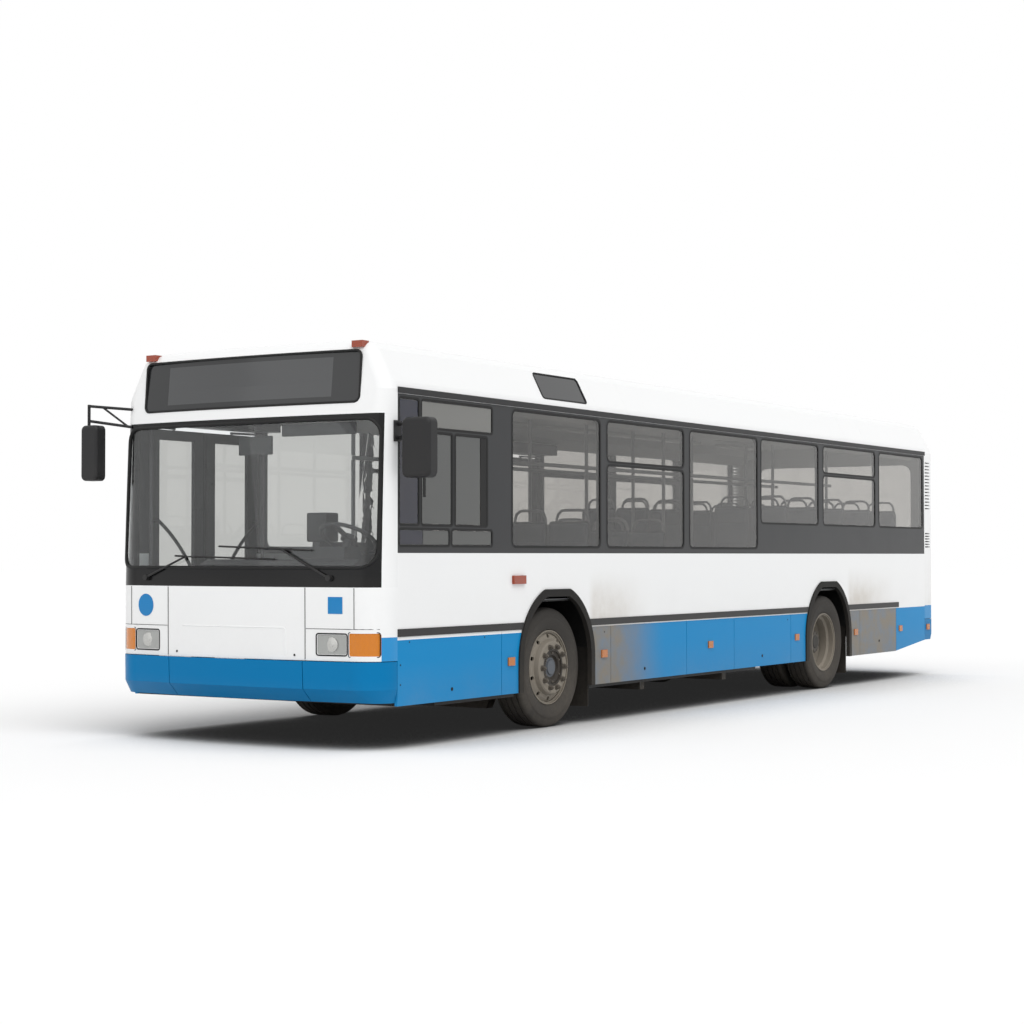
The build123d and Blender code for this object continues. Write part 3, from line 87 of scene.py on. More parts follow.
def remap(tree, value, low, high, to_low=0.0, to_high=1.0, smooth=False):
    """A value carried over from one range to another and held at its ends."""
    made = add_node(
        tree, "ShaderNodeMapRange", Value=value, From_Min=low, From_Max=high, To_Min=to_low, To_Max=to_high
    )
    if smooth:
        made.interpolation_type = "SMOOTHSTEP"
    return made.outputs[0]


def mix_colours(tree, factor, first, second):
    """The output of a colour mix."""
    mix = tree.nodes.new("ShaderNodeMix")
    mix.data_type = "RGBA"
    for socket, value in ((mix.inputs[0], factor), (mix.inputs[6], first), (mix.inputs[7], second)):
        if isinstance(value, bpy.types.NodeSocket):
            tree.links.new(value, socket)
        else:
            socket.default_value = (*value, 1) if isinstance(value, tuple) else value
    return mix.outputs[2]


def seen_directly(tree):
    """1 where the eye, a reflection or a look through glass meets the surface, and 0 for its light."""
    path = tree.nodes.new("ShaderNodeLightPath").outputs
    seen = calc(tree, "MAXIMUM", path["Is Camera Ray"], path["Is Glossy Ray"])
    return calc(tree, "MAXIMUM", seen, path["Is Transmission Ray"])


world = bpy.data.worlds.new("studio")
bpy.context.scene.world = world
world.use_nodes = True
sky = world.node_tree
background = sky.nodes["Background"].inputs
background["Color"].default_value = (1, 1, 1, 1)
sky.links.new(remap(sky, seen_directly(sky), 0.0, 1.0, SKY_LIGHT), background["Strength"])

for name, strength, softness, turn in LAMPS:
    lamp = bpy.data.objects.new(name, bpy.data.lights.new(name, "SUN"))
    lamp.data.energy = strength
    lamp.data.angle = math.radians(softness)
    lamp.rotation_euler = [math.radians(angle) for angle in turn]
    bpy.context.scene.collection.objects.link(lamp)

floor_form = bmesh.new()
bmesh.ops.create_grid(floor_form, x_segments=1, y_segments=1, size=FLOOR_SIZE / 2)
floor_mesh = bpy.data.meshes.new("studio_floor")
floor_form.to_mesh(floor_mesh)
floor_form.free()
studio_floor = bpy.data.objects.new("studio_floor", floor_mesh)
bpy.context.scene.collection.objects.link(studio_floor)
floor_paint = bpy.data.materials.new("studio_floor")
floor_paint.use_nodes = True
tree = floor_paint.node_tree
floor_shader = tree.nodes["Principled BSDF"].inputs
floor_shader["Roughness"].default_value = 1.0
floor_shader["Specular IOR Level"].default_value = 0.0
floor_shader["Emission Color"].default_value = (1, 1, 1, 1)
tree.links.new(calc(tree, "MULTIPLY", seen_directly(tree), FLOOR_LIFT), floor_shader["Emission Strength"])
# Painted shade: ambient occlusion darkens the floor's colour towards black under and round the bus.
occlusion = add_node(tree, "ShaderNodeAmbientOcclusion", Distance=SHADE_REACH)
occlusion.samples = 8
shade = remap(tree, occlusion.outputs["AO"], *SHADE_RANGE, smooth=True)
tree.links.new(mix_colours(tree, shade, (0, 0, 0), FLOOR_COLOUR), floor_shader["Base Color"])
floor_mesh.materials.append(floor_paint)

# Body panels
# Steel and glass-fibre panels in white coach paint: walls, roof, front, rear, lids. The lower edge carries
# road film, and wheel spray has left beige smudges on the sides behind both axles.
WHITE = (0.83, 0.835, 0.835)
FILM = (0.36, 0.31, 0.25)
SMUDGE = (0.42, 0.36, 0.28)
SMUDGE_STRENGTH = 0.62
SPRAY_REACH = ((-2.43, -1.35), (3.02, 4.45))


def place_axes(tree):
    """Across, along and up of the point on the bus, in metres."""
    where = tree.nodes.new("ShaderNodeTexCoord")
    return add_node(tree, "ShaderNodeSeparateXYZ", i0=where.outputs["Object"]).outputs


def off_middle(tree):
    """How far the point is from the bus's middle plane."""
    return calc(tree, "ABSOLUTE", place_axes(tree)[0])


film = bpy.data.node_groups.new("road_film", "ShaderNodeTree")
for socket, kind, value in (
    ("Colour", "NodeSocketColor", (1, 1, 1, 1)), ("Film Colour", "NodeSocketColor", (*FILM, 1)),
    ("Top", "NodeSocketFloat", 0.9), ("Fade", "NodeSocketFloat", 0.6), ("Amount", "NodeSocketFloat", 0.4),
    ("Gloss", "NodeSocketFloat", 0.3),
):
    film.interface.new_socket(socket, in_out="INPUT", socket_type=kind).default_value = value
for socket, kind in (
    ("Colour", "NodeSocketColor"), ("Roughness", "NodeSocketFloat"), ("Height", "NodeSocketFloat"),
):
    film.interface.new_socket(socket, in_out="OUTPUT", socket_type=kind)
film_in = film.nodes.new("NodeGroupInput").outputs
film_out = film.nodes.new("NodeGroupOutput").inputs
film_place = film.nodes.new("ShaderNodeTexCoord").outputs["Object"]
film_drop = calc(film, "SUBTRACT", film_in["Top"], place_axes(film)[2])
film_ramp = add_node(film, "ShaderNodeMath", "DIVIDE", i0=film_drop, i1=film_in["Fade"])
film_ramp.use_clamp = True
film_cloud = add_node(
    film, "ShaderNodeTexNoise", Vector=film_place, Scale=2.3, Detail=7.0, Roughness=0.62
).outputs[0]
film_speck = add_node(
    film, "ShaderNodeTexNoise", Vector=film_place, Scale=38.0, Detail=4.0, Roughness=0.7
).outputs[0]
film_cover = calc(film, "MULTIPLY", film_ramp.outputs[0], remap(film, film_cloud, 0.30, 0.68, 0.25, 1.15))
film_cover = calc(film, "MULTIPLY", film_cover, remap(film, film_speck, 0.35, 0.70, 0.75, 1.1))
film_mask = add_node(film, "ShaderNodeMath", "MULTIPLY", i0=film_cover, i1=film_in["Amount"])
film_mask.use_clamp = True
film_mask = film_mask.outputs[0]
film.links.new(mix_colours(film, film_mask, film_in["Colour"], film_in["Film Colour"]), film_out["Colour"])
film_rough = calc(film, "ADD", film_in["Gloss"], calc(film, "MULTIPLY", film_mask, 0.5))
film_vary = calc(film, "MULTIPLY_ADD", film_cloud, 0.10, -0.05)
film.links.new(calc(film, "ADD", film_rough, film_vary), film_out["Roughness"])
film_fine = add_node(film, "ShaderNodeTexNoise", Vector=film_place, Scale=160.0, Detail=2.0)
film.links.new(film_fine.outputs[0], film_out["Height"])


def finish(
    name, colour, gloss=0.3, top=0.9, fade=0.6, amount=0.4, relief=0.0002, metal=0.0, coat=0.0, shine=0.35
):
    """A material with a fine relief, whose colour and gloss carry road film up to a height."""
    made = bpy.data.materials.new(name)
    made.use_nodes = True
    tree = made.node_tree
    shader = tree.nodes["Principled BSDF"].inputs
    dirt = tree.nodes.new("ShaderNodeGroup")
    dirt.node_tree = film
    for inputs, socket, value in (
        (shader, "Metallic", metal), (shader, "Coat Weight", coat), (shader, "Coat Roughness", 0.08),
        (shader, "Specular IOR Level", shine), (dirt.inputs, "Colour", (*colour, 1)),
        (dirt.inputs, "Top", top), (dirt.inputs, "Fade", fade), (dirt.inputs, "Amount", amount),
        (dirt.inputs, "Gloss", gloss),
    ):
        inputs[socket].default_value = value
    tree.links.new(dirt.outputs["Colour"], shader["Base Color"])
    tree.links.new(dirt.outputs["Roughness"], shader["Roughness"])
    bump = add_node(tree, "ShaderNodeBump", Height=dirt.outputs["Height"], Distance=relief, Strength=0.6)
    tree.links.new(bump.outputs[0], shader["Normal"])
    return made


def overlay(made, mask, colour):
    """Lays a colour over a material's base colour where the mask says."""
    base = made.node_tree.nodes["Principled BSDF"].inputs["Base Color"]
    made.node_tree.links.new(mix_colours(made.node_tree, mask, base.links[0].from_socket, colour), base)


def ramp_up(tree, value, low, high):
    """0 below one value and 1 above another, smooth between; low may be the larger of the two."""
    if low < high:
        return remap(tree, value, low, high, smooth=True)
    return remap(tree, value, high, low, 1.0, 0.0, smooth=True)


def times(tree, *values):
    """The product of several values."""
    total = values[0]
    for value in values[1:]:
        total = calc(tree, "MULTIPLY", total, value)
    return total


def spray_mask(tree, front, rear):
    """Wheel spray behind an arch: strongest at the arch's rear edge and just above the rub rail."""
    along, up = place_axes(tree)[1:]
    where = tree.nodes.new("ShaderNodeTexCoord").outputs["Object"]
    cloud = add_node(
        tree, "ShaderNodeTexNoise", Vector=where, Scale=3.5, Detail=7.0, Roughness=0.62
    ).outputs[0]
    return times(
        tree, ramp_up(tree, along, front - 0.12, front), ramp_up(tree, along, rear, front),
        ramp_up(tree, up, 1.30, 0.86), remap(tree, cloud, 0.25, 0.7, 0.35, 1.1),
    )


def paint(made, *node_names):
    """Gives CAD nodes a material."""
    for name in node_names:
        slots = nodes[name].data.materials
        slots.clear()
        slots.append(made)


white_paint = finish("white_paint", WHITE, gloss=0.30, top=1.25, fade=1.0, amount=0.13, coat=0.12)
tree = white_paint.node_tree
smudged = calc(tree, "MAXIMUM", *[spray_mask(tree, *reach) for reach in SPRAY_REACH])
overlay(white_paint, times(tree, smudged, SMUDGE_STRENGTH), SMUDGE)
paint(
    white_paint, "left_side_wall", "right_side_wall", "front_header", "roof_shell", "engine_lid",
    "front_roof_hatch", "rear_roof_hatch",
)

# Front mask
# Moulded white flaps round the lamps; the outer edges that turn back to the sides are blue low down.
MASK_BLUE = (0.010, 0.245, 0.550)
CORNER_X = 1.212
CORNER_BLUE_TOP = 0.80

mask_paint = finish("mask_paint", WHITE, gloss=0.30, top=1.15, fade=0.7, amount=0.12, coat=0.12)
tree = mask_paint.node_tree
mask_corner = calc(tree, "GREATER_THAN", off_middle(tree), CORNER_X)
mask_low = calc(tree, "LESS_THAN", place_axes(tree)[2], CORNER_BLUE_TOP)
overlay(mask_paint, times(tree, mask_corner, mask_low), MASK_BLUE)
paint(mask_paint, "front_mask")

# Skirts and bumpers
# Hinged aluminium flaps along the sides, in light blue, and glass-fibre bumpers in a deeper blue. The flaps
# behind the wheels are so caked that they look grey-brown. A thin white line runs below the front rub rail.
SKIRT_BLUE = (0.003, 0.225, 0.510)
BUMPER_BLUE = (0.0005, 0.170, 0.400)
CAKED = (0.215, 0.192, 0.158)
CAKED_FRONT = (-2.60, -2.55, -2.15, -1.15)
CAKED_REAR = (2.80, 2.85, 4.305, 4.312)
WHITE_LINE_Z = 0.777
WHITE_LINE_END = -2.6

skirt_paint = finish("skirt_paint", SKIRT_BLUE, gloss=0.38, top=0.62, fade=0.5, amount=0.16, shine=0.12)
tree = skirt_paint.node_tree


def along_mask(tree, start, full, end_full, end):
    """1 between two places along the bus, fading to 0 outside them."""
    along = place_axes(tree)[1]
    return times(tree, ramp_up(tree, along, start, full), ramp_up(tree, along, end, end_full))


skirt_place = tree.nodes.new("ShaderNodeTexCoord").outputs["Object"]
cake_cloud = add_node(
    tree, "ShaderNodeTexNoise", Vector=skirt_place, Scale=4.0, Detail=8.0, Roughness=0.65
).outputs[0]
caked = calc(tree, "MAXIMUM", along_mask(tree, *CAKED_FRONT), along_mask(tree, *CAKED_REAR))
overlay(skirt_paint, times(tree, caked, remap(tree, cake_cloud, 0.3, 0.6, 0.72, 1.0)), CAKED)
white_line = calc(tree, "GREATER_THAN", place_axes(tree)[2], WHITE_LINE_Z)
overlay(
    skirt_paint, times(tree, white_line, calc(tree, "LESS_THAN", place_axes(tree)[1], WHITE_LINE_END)), WHITE
)
paint(skirt_paint, "side_skirts")
bumper_paint = finish("bumper_paint", BUMPER_BLUE, gloss=0.34, top=0.50, fade=0.30, amount=0.10, shine=0.10)
paint(bumper_paint, "bumpers")

rear_paint = finish("rear_paint", WHITE, gloss=0.30, top=1.5, fade=1.0, amount=0.24, coat=0.1)
tree = rear_paint.node_tree
overlay(rear_paint, calc(tree, "LESS_THAN", place_axes(tree)[2], CORNER_BLUE_TOP), SKIRT_BLUE)
paint(rear_paint, "rear_wall")

# Window bands, rails and rubber
# Satin dark grey plates carry the bonded windows. Black aluminium rails run along the sides, and thick black
# rubber lips edge the wheel arches.
BAND_GREY = (0.015, 0.016, 0.018)
RUBBER = (0.012, 0.0115, 0.011)

band_paint = finish("band_paint", BAND_GREY, gloss=0.40, top=1.6, fade=0.9, amount=0.06, shine=0.4)
rail_black = finish(
    "rail_black", (0.016, 0.016, 0.017), gloss=0.45, top=1.0, fade=0.7, amount=0.12, shine=0.3
)
arch_rubber = finish(
    "arch_rubber", RUBBER, gloss=0.62, top=1.2, fade=1.0, amount=0.10, relief=0.0006, shine=0.15
)
screen_black = finish(
    "screen_black", (0.006, 0.006, 0.0065), gloss=0.22, top=1.25, fade=0.3, amount=0.06, shine=0.25
)
tree = screen_black.node_tree
overlay(screen_black, calc(tree, "GREATER_THAN", off_middle(tree), CORNER_X), WHITE)
paint(band_paint, "window_bands")
paint(rail_black, "body_rails")
paint(arch_rubber, "arch_trims")
paint(screen_black, "windscreen_surround")

# Glazing
# Grey tinted safety glass along the sides and in the doors, and clear glass in front. The look through a pane
# is that of the pane itself, and the light that passes it is tinted alike.
SIDE_TINT = (0.585, 0.575, 0.555)
SCREEN_TINT = (0.84, 0.865, 0.865)
DOORS = ("front_door", "middle_door")
LEAVES = ("front_leaf", "rear_leaf")
LEAF_NODES = [f"{door}_{leaf}" for door in DOORS for leaf in LEAVES]


def glazing(name, tint, smear):
    """Tinted glass with a dusty haze that dulls it in patches."""
    made = bpy.data.materials.new(name)
    made.use_nodes = True
    tree = made.node_tree
    shader = tree.nodes["Principled BSDF"]
    for socket, value in (
        ("Base Color", (*tint, 1)), ("Transmission Weight", 1.0), ("Metallic", 0.0), ("IOR", 1.45),
    ):
        shader.inputs[socket].default_value = value
    where = tree.nodes.new("ShaderNodeTexCoord").outputs["Object"]
    dust = add_node(tree, "ShaderNodeTexNoise", Vector=where, Scale=5.0, Detail=6.0, Roughness=0.6).outputs[0]
    tree.links.new(remap(tree, dust, 0.45, 0.75, 0.0, smear), shader.inputs["Roughness"])
    clear = tree.nodes.new("ShaderNodeBsdfTransparent")
    clear.inputs["Color"].default_value = (*[value * 0.96 for value in tint], 1)
    path = tree.nodes.new("ShaderNodeLightPath").outputs
    mixed = tree.nodes.new("ShaderNodeMixShader")
    tree.links.new(calc(tree, "MAXIMUM", path["Is Shadow Ray"], path["Is Diffuse Ray"]), mixed.inputs[0])
    tree.links.new(shader.outputs[0], mixed.inputs[1])
    tree.links.new(clear.outputs[0], mixed.inputs[2])
    tree.links.new(mixed.outputs[0], tree.nodes["Material Output"].inputs["Surface"])
    return made


side_glass = glazing("side_glass", SIDE_TINT, 0.05)
screen_glass = glazing("screen_glass", SCREEN_TINT, 0.03)
paint(side_glass, "saloon_windows", *[f"{leaf}_pane" for leaf in LEAF_NODES])
paint(screen_glass, "windscreen")

# Doors
# Black powder-coated aluminium leaves on steel arms, under moulded covers.
door_black = finish("door_black", (0.020, 0.021, 0.022), gloss=0.38, top=1.0, fade=0.8, amount=0.12)
arm_steel = finish("arm_steel", (0.10, 0.10, 0.105), gloss=0.40, top=0.9, fade=0.7, amount=0.3, metal=0.7)
gear_cover = finish("gear_cover", (0.045, 0.046, 0.048), gloss=0.45, top=1.0, fade=0.8, amount=0.15)
paint(gear_cover, "door_gear")
paint(door_black, *LEAF_NODES)
paint(arm_steel, *[f"{leaf}_arms" for leaf in LEAF_NODES])

# Destination signs, lamps and markers
# Dark glass fronts over the blank sign screens, clear and amber lamp mouldings, and red ones at the rear.
SIGN_SCREEN = (0.060, 0.062, 0.064)
SIGN_HALF = 0.778
SIGN_BOTTOM, SIGN_TOP = 2.515, 2.800
INDICATOR_FROM_X = 1.000
INDICATOR_AMBER = (0.62, 0.190, 0.006)
REPEATER_ABOVE_Z = 0.90
REPEATER_RED = (0.30, 0.045, 0.015)
RIB_PITCH = 0.012

sign_glass = finish("sign_glass", (0.020, 0.021, 0.022), gloss=0.12, top=0.3, fade=0.3, amount=0.1, coat=0.3)
tree = sign_glass.node_tree
sign_up = place_axes(tree)[2]
overlay(sign_glass, times(
    tree, calc(tree, "LESS_THAN", off_middle(tree), SIGN_HALF), calc(tree, "LESS_THAN", sign_up, SIGN_TOP),
    calc(tree, "GREATER_THAN", sign_up, SIGN_BOTTOM),
), SIGN_SCREEN)
paint(sign_glass, "destination_signs")


def lens(name, colour, gloss):
    """A moulded plastic lens with fine upright ribs."""
    made = finish(name, colour, gloss=gloss, top=1.2, fade=0.8, amount=0.12, coat=0.3)
    tree = made.node_tree
    across, along = place_axes(tree)[:2]
    ribs = calc(tree, "SINE", times(tree, calc(tree, "ADD", across, along), 2 * math.pi / RIB_PITCH))
    bump = add_node(tree, "ShaderNodeBump", Height=ribs, Distance=0.0012, Strength=0.7)
    tree.links.new(bump.outputs[0], tree.nodes["Principled BSDF"].inputs["Normal"])
    return made


front_lens = lens("front_lens", (0.36, 0.37, 0.36), 0.16)
tree = front_lens.node_tree
overlay(front_lens, calc(tree, "GREATER_THAN", off_middle(tree), INDICATOR_FROM_X), INDICATOR_AMBER)
marker_lens = lens("marker_lens", (0.50, 0.150, 0.018), 0.20)
tree = marker_lens.node_tree
overlay(marker_lens, calc(tree, "GREATER_THAN", place_axes(tree)[2], REPEATER_ABOVE_Z), REPEATER_RED)
paint(front_lens, "front_lamps")
paint(marker_lens, "side_markers")
paint(lens("red_lens", (0.40, 0.012, 0.010), 0.16), "rear_lamps")

# Mirrors and wipers
# Black moulded housings on bent steel arms, and black wiper arms with rubber blades.
moulded_black = finish(
    "moulded_black", (0.014, 0.014, 0.015), gloss=0.50, top=2.6, fade=2.0, amount=0.04, relief=0.0005,
    shine=0.3,
)
paint(moulded_black, "mirrors", "wipers")

# Running gear
# A painted ladder frame, cast axles and knuckles, rubber air bellows and one plain engine block.
frame_paint = finish(
    "frame_paint", (0.012, 0.012, 0.012), gloss=0.6, top=1.0, fade=0.8, amount=0.16, shine=0.2
)
cast_metal = finish(
    "cast_metal", (0.060, 0.055, 0.050), gloss=0.60, top=1.0, fade=0.8, amount=0.25, metal=0.4, shine=0.3
)
bellows_rubber = finish(
    "bellows_rubber", (0.014, 0.014, 0.013), gloss=0.65, top=1.0, fade=0.8, amount=0.2, shine=0.2
)
paint(frame_paint, "chassis_frame")
paint(cast_metal, "front_axle", "rear_axle", "left_knuckle", "right_knuckle", "engine_block")
paint(bellows_rubber, "air_springs")

# Wheels
# Ten-hole steel discs in dusty grey-brown paint. The front ones have a dark hub recess with a blue-grey cap.
FRONT_AXLE_Y, REAR_AXLE_Y = -3.035, 2.415
WHEEL_Z = 0.480
HUB_COLOURS = (
    (FRONT_AXLE_Y, 0.150, (0.040, 0.034, 0.028)), (FRONT_AXLE_Y, 0.078, (0.105, 0.115, 0.130)),
    (REAR_AXLE_Y, 0.120, (0.085, 0.078, 0.068)), (REAR_AXLE_Y, 0.068, (0.045, 0.042, 0.038)),
)


def near_axle(tree, axle_y, radius):
    """1 inside a radius about an axle, and 0 outside it."""
    along, up = place_axes(tree)[1:]
    offset = calc(tree, "SUBTRACT", along, axle_y)
    height = calc(tree, "SUBTRACT", up, WHEEL_Z)
    reach = calc(tree, "MULTIPLY_ADD", height, height, times(tree, offset, offset))
    return calc(tree, "LESS_THAN", reach, radius ** 2)


wheel_steel = finish(
    "wheel_steel", (0.200, 0.178, 0.146), gloss=0.55, top=0.9, fade=0.9, amount=0.34, shine=0.3
)
for axle_y, radius, colour in HUB_COLOURS:
    overlay(wheel_steel, near_axle(wheel_steel.node_tree, axle_y, radius), colour)
paint(wheel_steel, "front_left_wheel", "rear_left_wheels", "front_right_wheel", "rear_right_wheels")


def add_piece(name, form, material, body="body", smooth_below=35):
    """Turns a finished form into a piece that rides on a body; edges sharper than the angle stay sharp."""
    mesh = bpy.data.meshes.new(name)
    form.normal_update()
    form.to_mesh(mesh)
    form.free()
    mesh.materials.append(material)
    mesh.polygons.foreach_set("use_smooth", [True] * len(mesh.polygons))
    mesh.set_sharp_from_angle(angle=math.radians(smooth_below))
    piece = bpy.data.objects.new(name, mesh)
    bpy.context.scene.collection.objects.link(piece)
    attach(piece, body)
    return piece


def add_box(form, x0, x1, y0, y1, z0, z1, bevel=0.003, segments=2):
    """A box with rounded edges between two corners."""
    middle = Vector(((x0 + x1) / 2, (y0 + y1) / 2, (z0 + z1) / 2))
    size = Vector((abs(x1 - x0), abs(y1 - y0), abs(z1 - z0)))
    made = bmesh.ops.create_cube(form, size=1, matrix=Matrix.LocRotScale(middle, None, size))["verts"]
    edges = list({edge for vert in made for edge in vert.link_edges})
    bmesh.ops.bevel(
        form, geom=edges, offset=bevel, segments=segments, affect="EDGES", profile=0.5, material=-1
    )


def add_rod(form, start, end, radius, sides=16, bevel=0.0):
    """A straight round bar between two points, its end edges rounded where a bevel is given."""
    start, end = Vector(start), Vector(end)
    turn = (end - start).to_track_quat("Z", "Y")
    matrix = Matrix.LocRotScale((start + end) / 2, turn, None)
    made = bmesh.ops.create_cone(
        form, cap_ends=True, segments=sides, radius1=radius, radius2=radius, depth=(end - start).length,
        matrix=matrix,
    )["verts"]
    if bevel:
        axis = (end - start).normalized()
        edges = {edge for vert in made for edge in vert.link_edges}
        rims = [
            edge for edge in edges if abs((edge.verts[0].co - edge.verts[1].co).normalized().dot(axis)) < 0.5
        ]
        bmesh.ops.bevel(form, geom=rims, offset=bevel, segments=2, affect="EDGES", profile=0.5, material=-1)


def add_tube(form, points, radius, sides=10):
    """A round tube that bends through several points."""
    points = [Vector(point) for point in points]
    rings, side_axis = [], None
    for number, point in enumerate(points):
        ahead = points[min(number + 1, len(points) - 1)] - points[max(number - 1, 0)]
        ahead.normalize()
        if side_axis is None:
            side_axis = ahead.orthogonal().normalized()
        side_axis = (side_axis - ahead * side_axis.dot(ahead)).normalized()
        other = ahead.cross(side_axis)
        rings.append([
            form.verts.new(point + radius * (math.cos(turn) * side_axis + math.sin(turn) * other))
            for turn in (2 * math.pi * step / sides for step in range(sides))
        ])
    for first, second in zip(rings, rings[1:]):
        for step in range(sides):
            after = (step + 1) % sides
            form.faces.new((first[step], first[after], second[after], second[step]))
    form.faces.new(list(reversed(rings[0])))
    form.faces.new(rings[-1])


# Wheel nuts and hub bolts
# Ten chamfered hexagon nuts on studs for each wheel, on a 335 mm circle; the rear ones sit deep in the dish.
# Six small bolts hold the front hub's cap, and eight the rear hub's end flange.
NUT_CIRCLE = 0.1675
# Bars of a fastener: (foot and head beyond the wheel's face, radius, sides, bevel)
NUT_BARS = (
    (-0.002, 0.006, 0.024, 20, 0.002), (-0.002, 0.028, 0.0185, 6, 0.002), (-0.002, 0.037, 0.011, 12, 0.002),
)
BOLT_BARS = ((-0.012, 0.008, 0.009, 6, 0.0015),)
nut_steel = finish("nut_steel", (0.075, 0.066, 0.055), gloss=0.5, top=0.9, fade=0.8, amount=0.3, metal=0.3)
for kind, end, axle_y, face_x, circle, count, first_place, bars in (
    ("wheel_nuts", "front", FRONT_AXLE_Y, 1.211, NUT_CIRCLE, 10, 0.0, NUT_BARS),
    ("wheel_nuts", "rear", REAR_AXLE_Y, 0.936, NUT_CIRCLE, 10, 0.0, NUT_BARS),
    ("hub_bolts", "front", FRONT_AXLE_Y, 1.201, 0.115, 6, 0.5, BOLT_BARS),
    ("hub_bolts", "rear", REAR_AXLE_Y, 1.098, 0.093, 8, 0.5, BOLT_BARS),
):
    for side, sign in (("left", 1), ("right", -1)):
        fasteners = bmesh.new()
        for number in range(count):
            turn = 2 * math.pi * (number + first_place) / count
            y, z = axle_y + circle * math.cos(turn), WHEEL_Z + circle * math.sin(turn)
            for foot, head, radius, sides, bevel in bars:
                start, end_point = (sign * (face_x + foot), y, z), (sign * (face_x + head), y, z)
                add_rod(fasteners, start, end_point, radius, sides, bevel)
        add_piece(f"{end}_{side}_{kind}", fasteners, nut_steel, f"{end}_{side}_wheel_body")

# Tyres
# Bus tyres: rounded sidewalls with a raised bead ring and a scuff rib, and a tread cut by four grooves.
tyre_rubber = finish(
    "tyre_rubber", (0.030, 0.028, 0.026), gloss=0.75, top=1.1, fade=0.9, amount=0.16, relief=0.0006,
    shine=0.25,
)
# Half section, from the bead to the middle of the tread, in metres: (distance from the centre plane, radius)
TYRE_SECTION = (
    (0.100, 0.287), (0.104, 0.296), (0.112, 0.302), (0.119, 0.306), (0.121, 0.312), (0.124, 0.322),
    (0.130, 0.340), (0.1345, 0.360), (0.1368, 0.380), (0.1370, 0.388), (0.1362, 0.398), (0.1362, 0.404),
    (0.1330, 0.408), (0.1310, 0.425), (0.1265, 0.442), (0.1225, 0.452), (0.1205, 0.458), (0.1130, 0.4685),
    (0.1040, 0.4745), (0.0880, 0.4778), (0.0850, 0.4775), (0.0840, 0.4660), (0.0740, 0.4660),
    (0.0730, 0.4788), (0.0330, 0.4798), (0.0320, 0.4670), (0.0220, 0.4670), (0.0210, 0.4800),
)
for end, axle_y, places in (
    ("front", FRONT_AXLE_Y, (1.053,)), ("rear", REAR_AXLE_Y, (1.078, 0.766)),
):
    for side, sign in (("left", 1), ("right", -1)):
        node = f"{end}_{side}_tyre" + ("s" if len(places) > 1 else "")
        for number, tyre_x in enumerate(places):
            tyre = bmesh.new()
            ring = [
                tyre.verts.new((offset, 0, radius))
                for offset, radius in TYRE_SECTION + tuple(
                    (-offset, radius) for offset, radius in TYRE_SECTION[::-1]
                )
            ]
            loop = [tyre.edges.new((ring[step], ring[(step + 1) % len(ring)])) for step in range(len(ring))]
            bmesh.ops.spin(
                tyre, geom=ring + loop, cent=(0, 0, 0), axis=(1, 0, 0), angle=2 * math.pi, steps=112,
                use_merge=True,
            )
            bmesh.ops.remove_doubles(tyre, verts=tyre.verts, dist=0.00005)
            bmesh.ops.translate(tyre, verts=tyre.verts, vec=(sign * tyre_x, axle_y, WHEEL_Z))
            bmesh.ops.recalc_face_normals(tyre, faces=tyre.faces)
            piece = add_piece(
                f"{node}_{number}", tyre, tyre_rubber, f"{end}_{side}_wheel_body", smooth_below=40
            )
            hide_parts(node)

# Saloon
# Grey flooring, pale linings, grey handrails, and a dark grey dashboard and cab partition. The floor's
# underside and the wheel boxes are sealed in black.
UNDERSEAL = (0.010, 0.0098, 0.0095)
ARCH_HALF = 0.612
ARCH_TOP = 1.023
ARCH_INNER_X = 0.580
FLOOR_BOTTOM = 0.335


def indoors(name, colour, gloss, amount=0.2, **more):
    """A finish that the road film hardly reaches."""
    return finish(name, colour, gloss, top=0.2, fade=0.3, amount=amount, **more)


floor_lining = indoors("floor_lining", (0.14, 0.145, 0.15), 0.55, relief=0.0008)
tree = floor_lining.node_tree
floor_along, floor_up = place_axes(tree)[1:]
over_wheel = [
    calc(tree, "LESS_THAN", calc(tree, "ABSOLUTE", calc(tree, "SUBTRACT", floor_along, axle_y)), ARCH_HALF)
    for axle_y in (FRONT_AXLE_Y, REAR_AXLE_Y)
]
wheel_box = times(
    tree, calc(tree, "GREATER_THAN", off_middle(tree), ARCH_INNER_X),
    calc(tree, "LESS_THAN", floor_up, ARCH_TOP), calc(tree, "MAXIMUM", *over_wheel),
)
underneath = calc(tree, "LESS_THAN", floor_up, FLOOR_BOTTOM)
overlay(floor_lining, calc(tree, "MAXIMUM", wheel_box, underneath), UNDERSEAL)
dash_grey = indoors("dash_grey", (0.030, 0.030, 0.032), 0.50, relief=0.0005)
paint(floor_lining, "floor_deck")
paint(indoors("wall_lining", (0.52, 0.53, 0.53), 0.45), "ceiling_lining")
paint(indoors("rail_paint", (0.30, 0.31, 0.32), 0.30), "handrails")
paint(dash_grey, "dashboard", "cab_partition")

# Seat padding
# One seat pad and one back pad are sewn, blown up by a cloth simulation and copied to every seat. The cover
# is a flat-woven dark blue-grey moquette.
PAD_VOXEL = 0.008
PAD_PRESSURE = 4.0
PAD_FRAMES = 16
PAD_CAP = 0.010
SEAM_HALF = 0.012
SEAM_DEPTH = 0.005

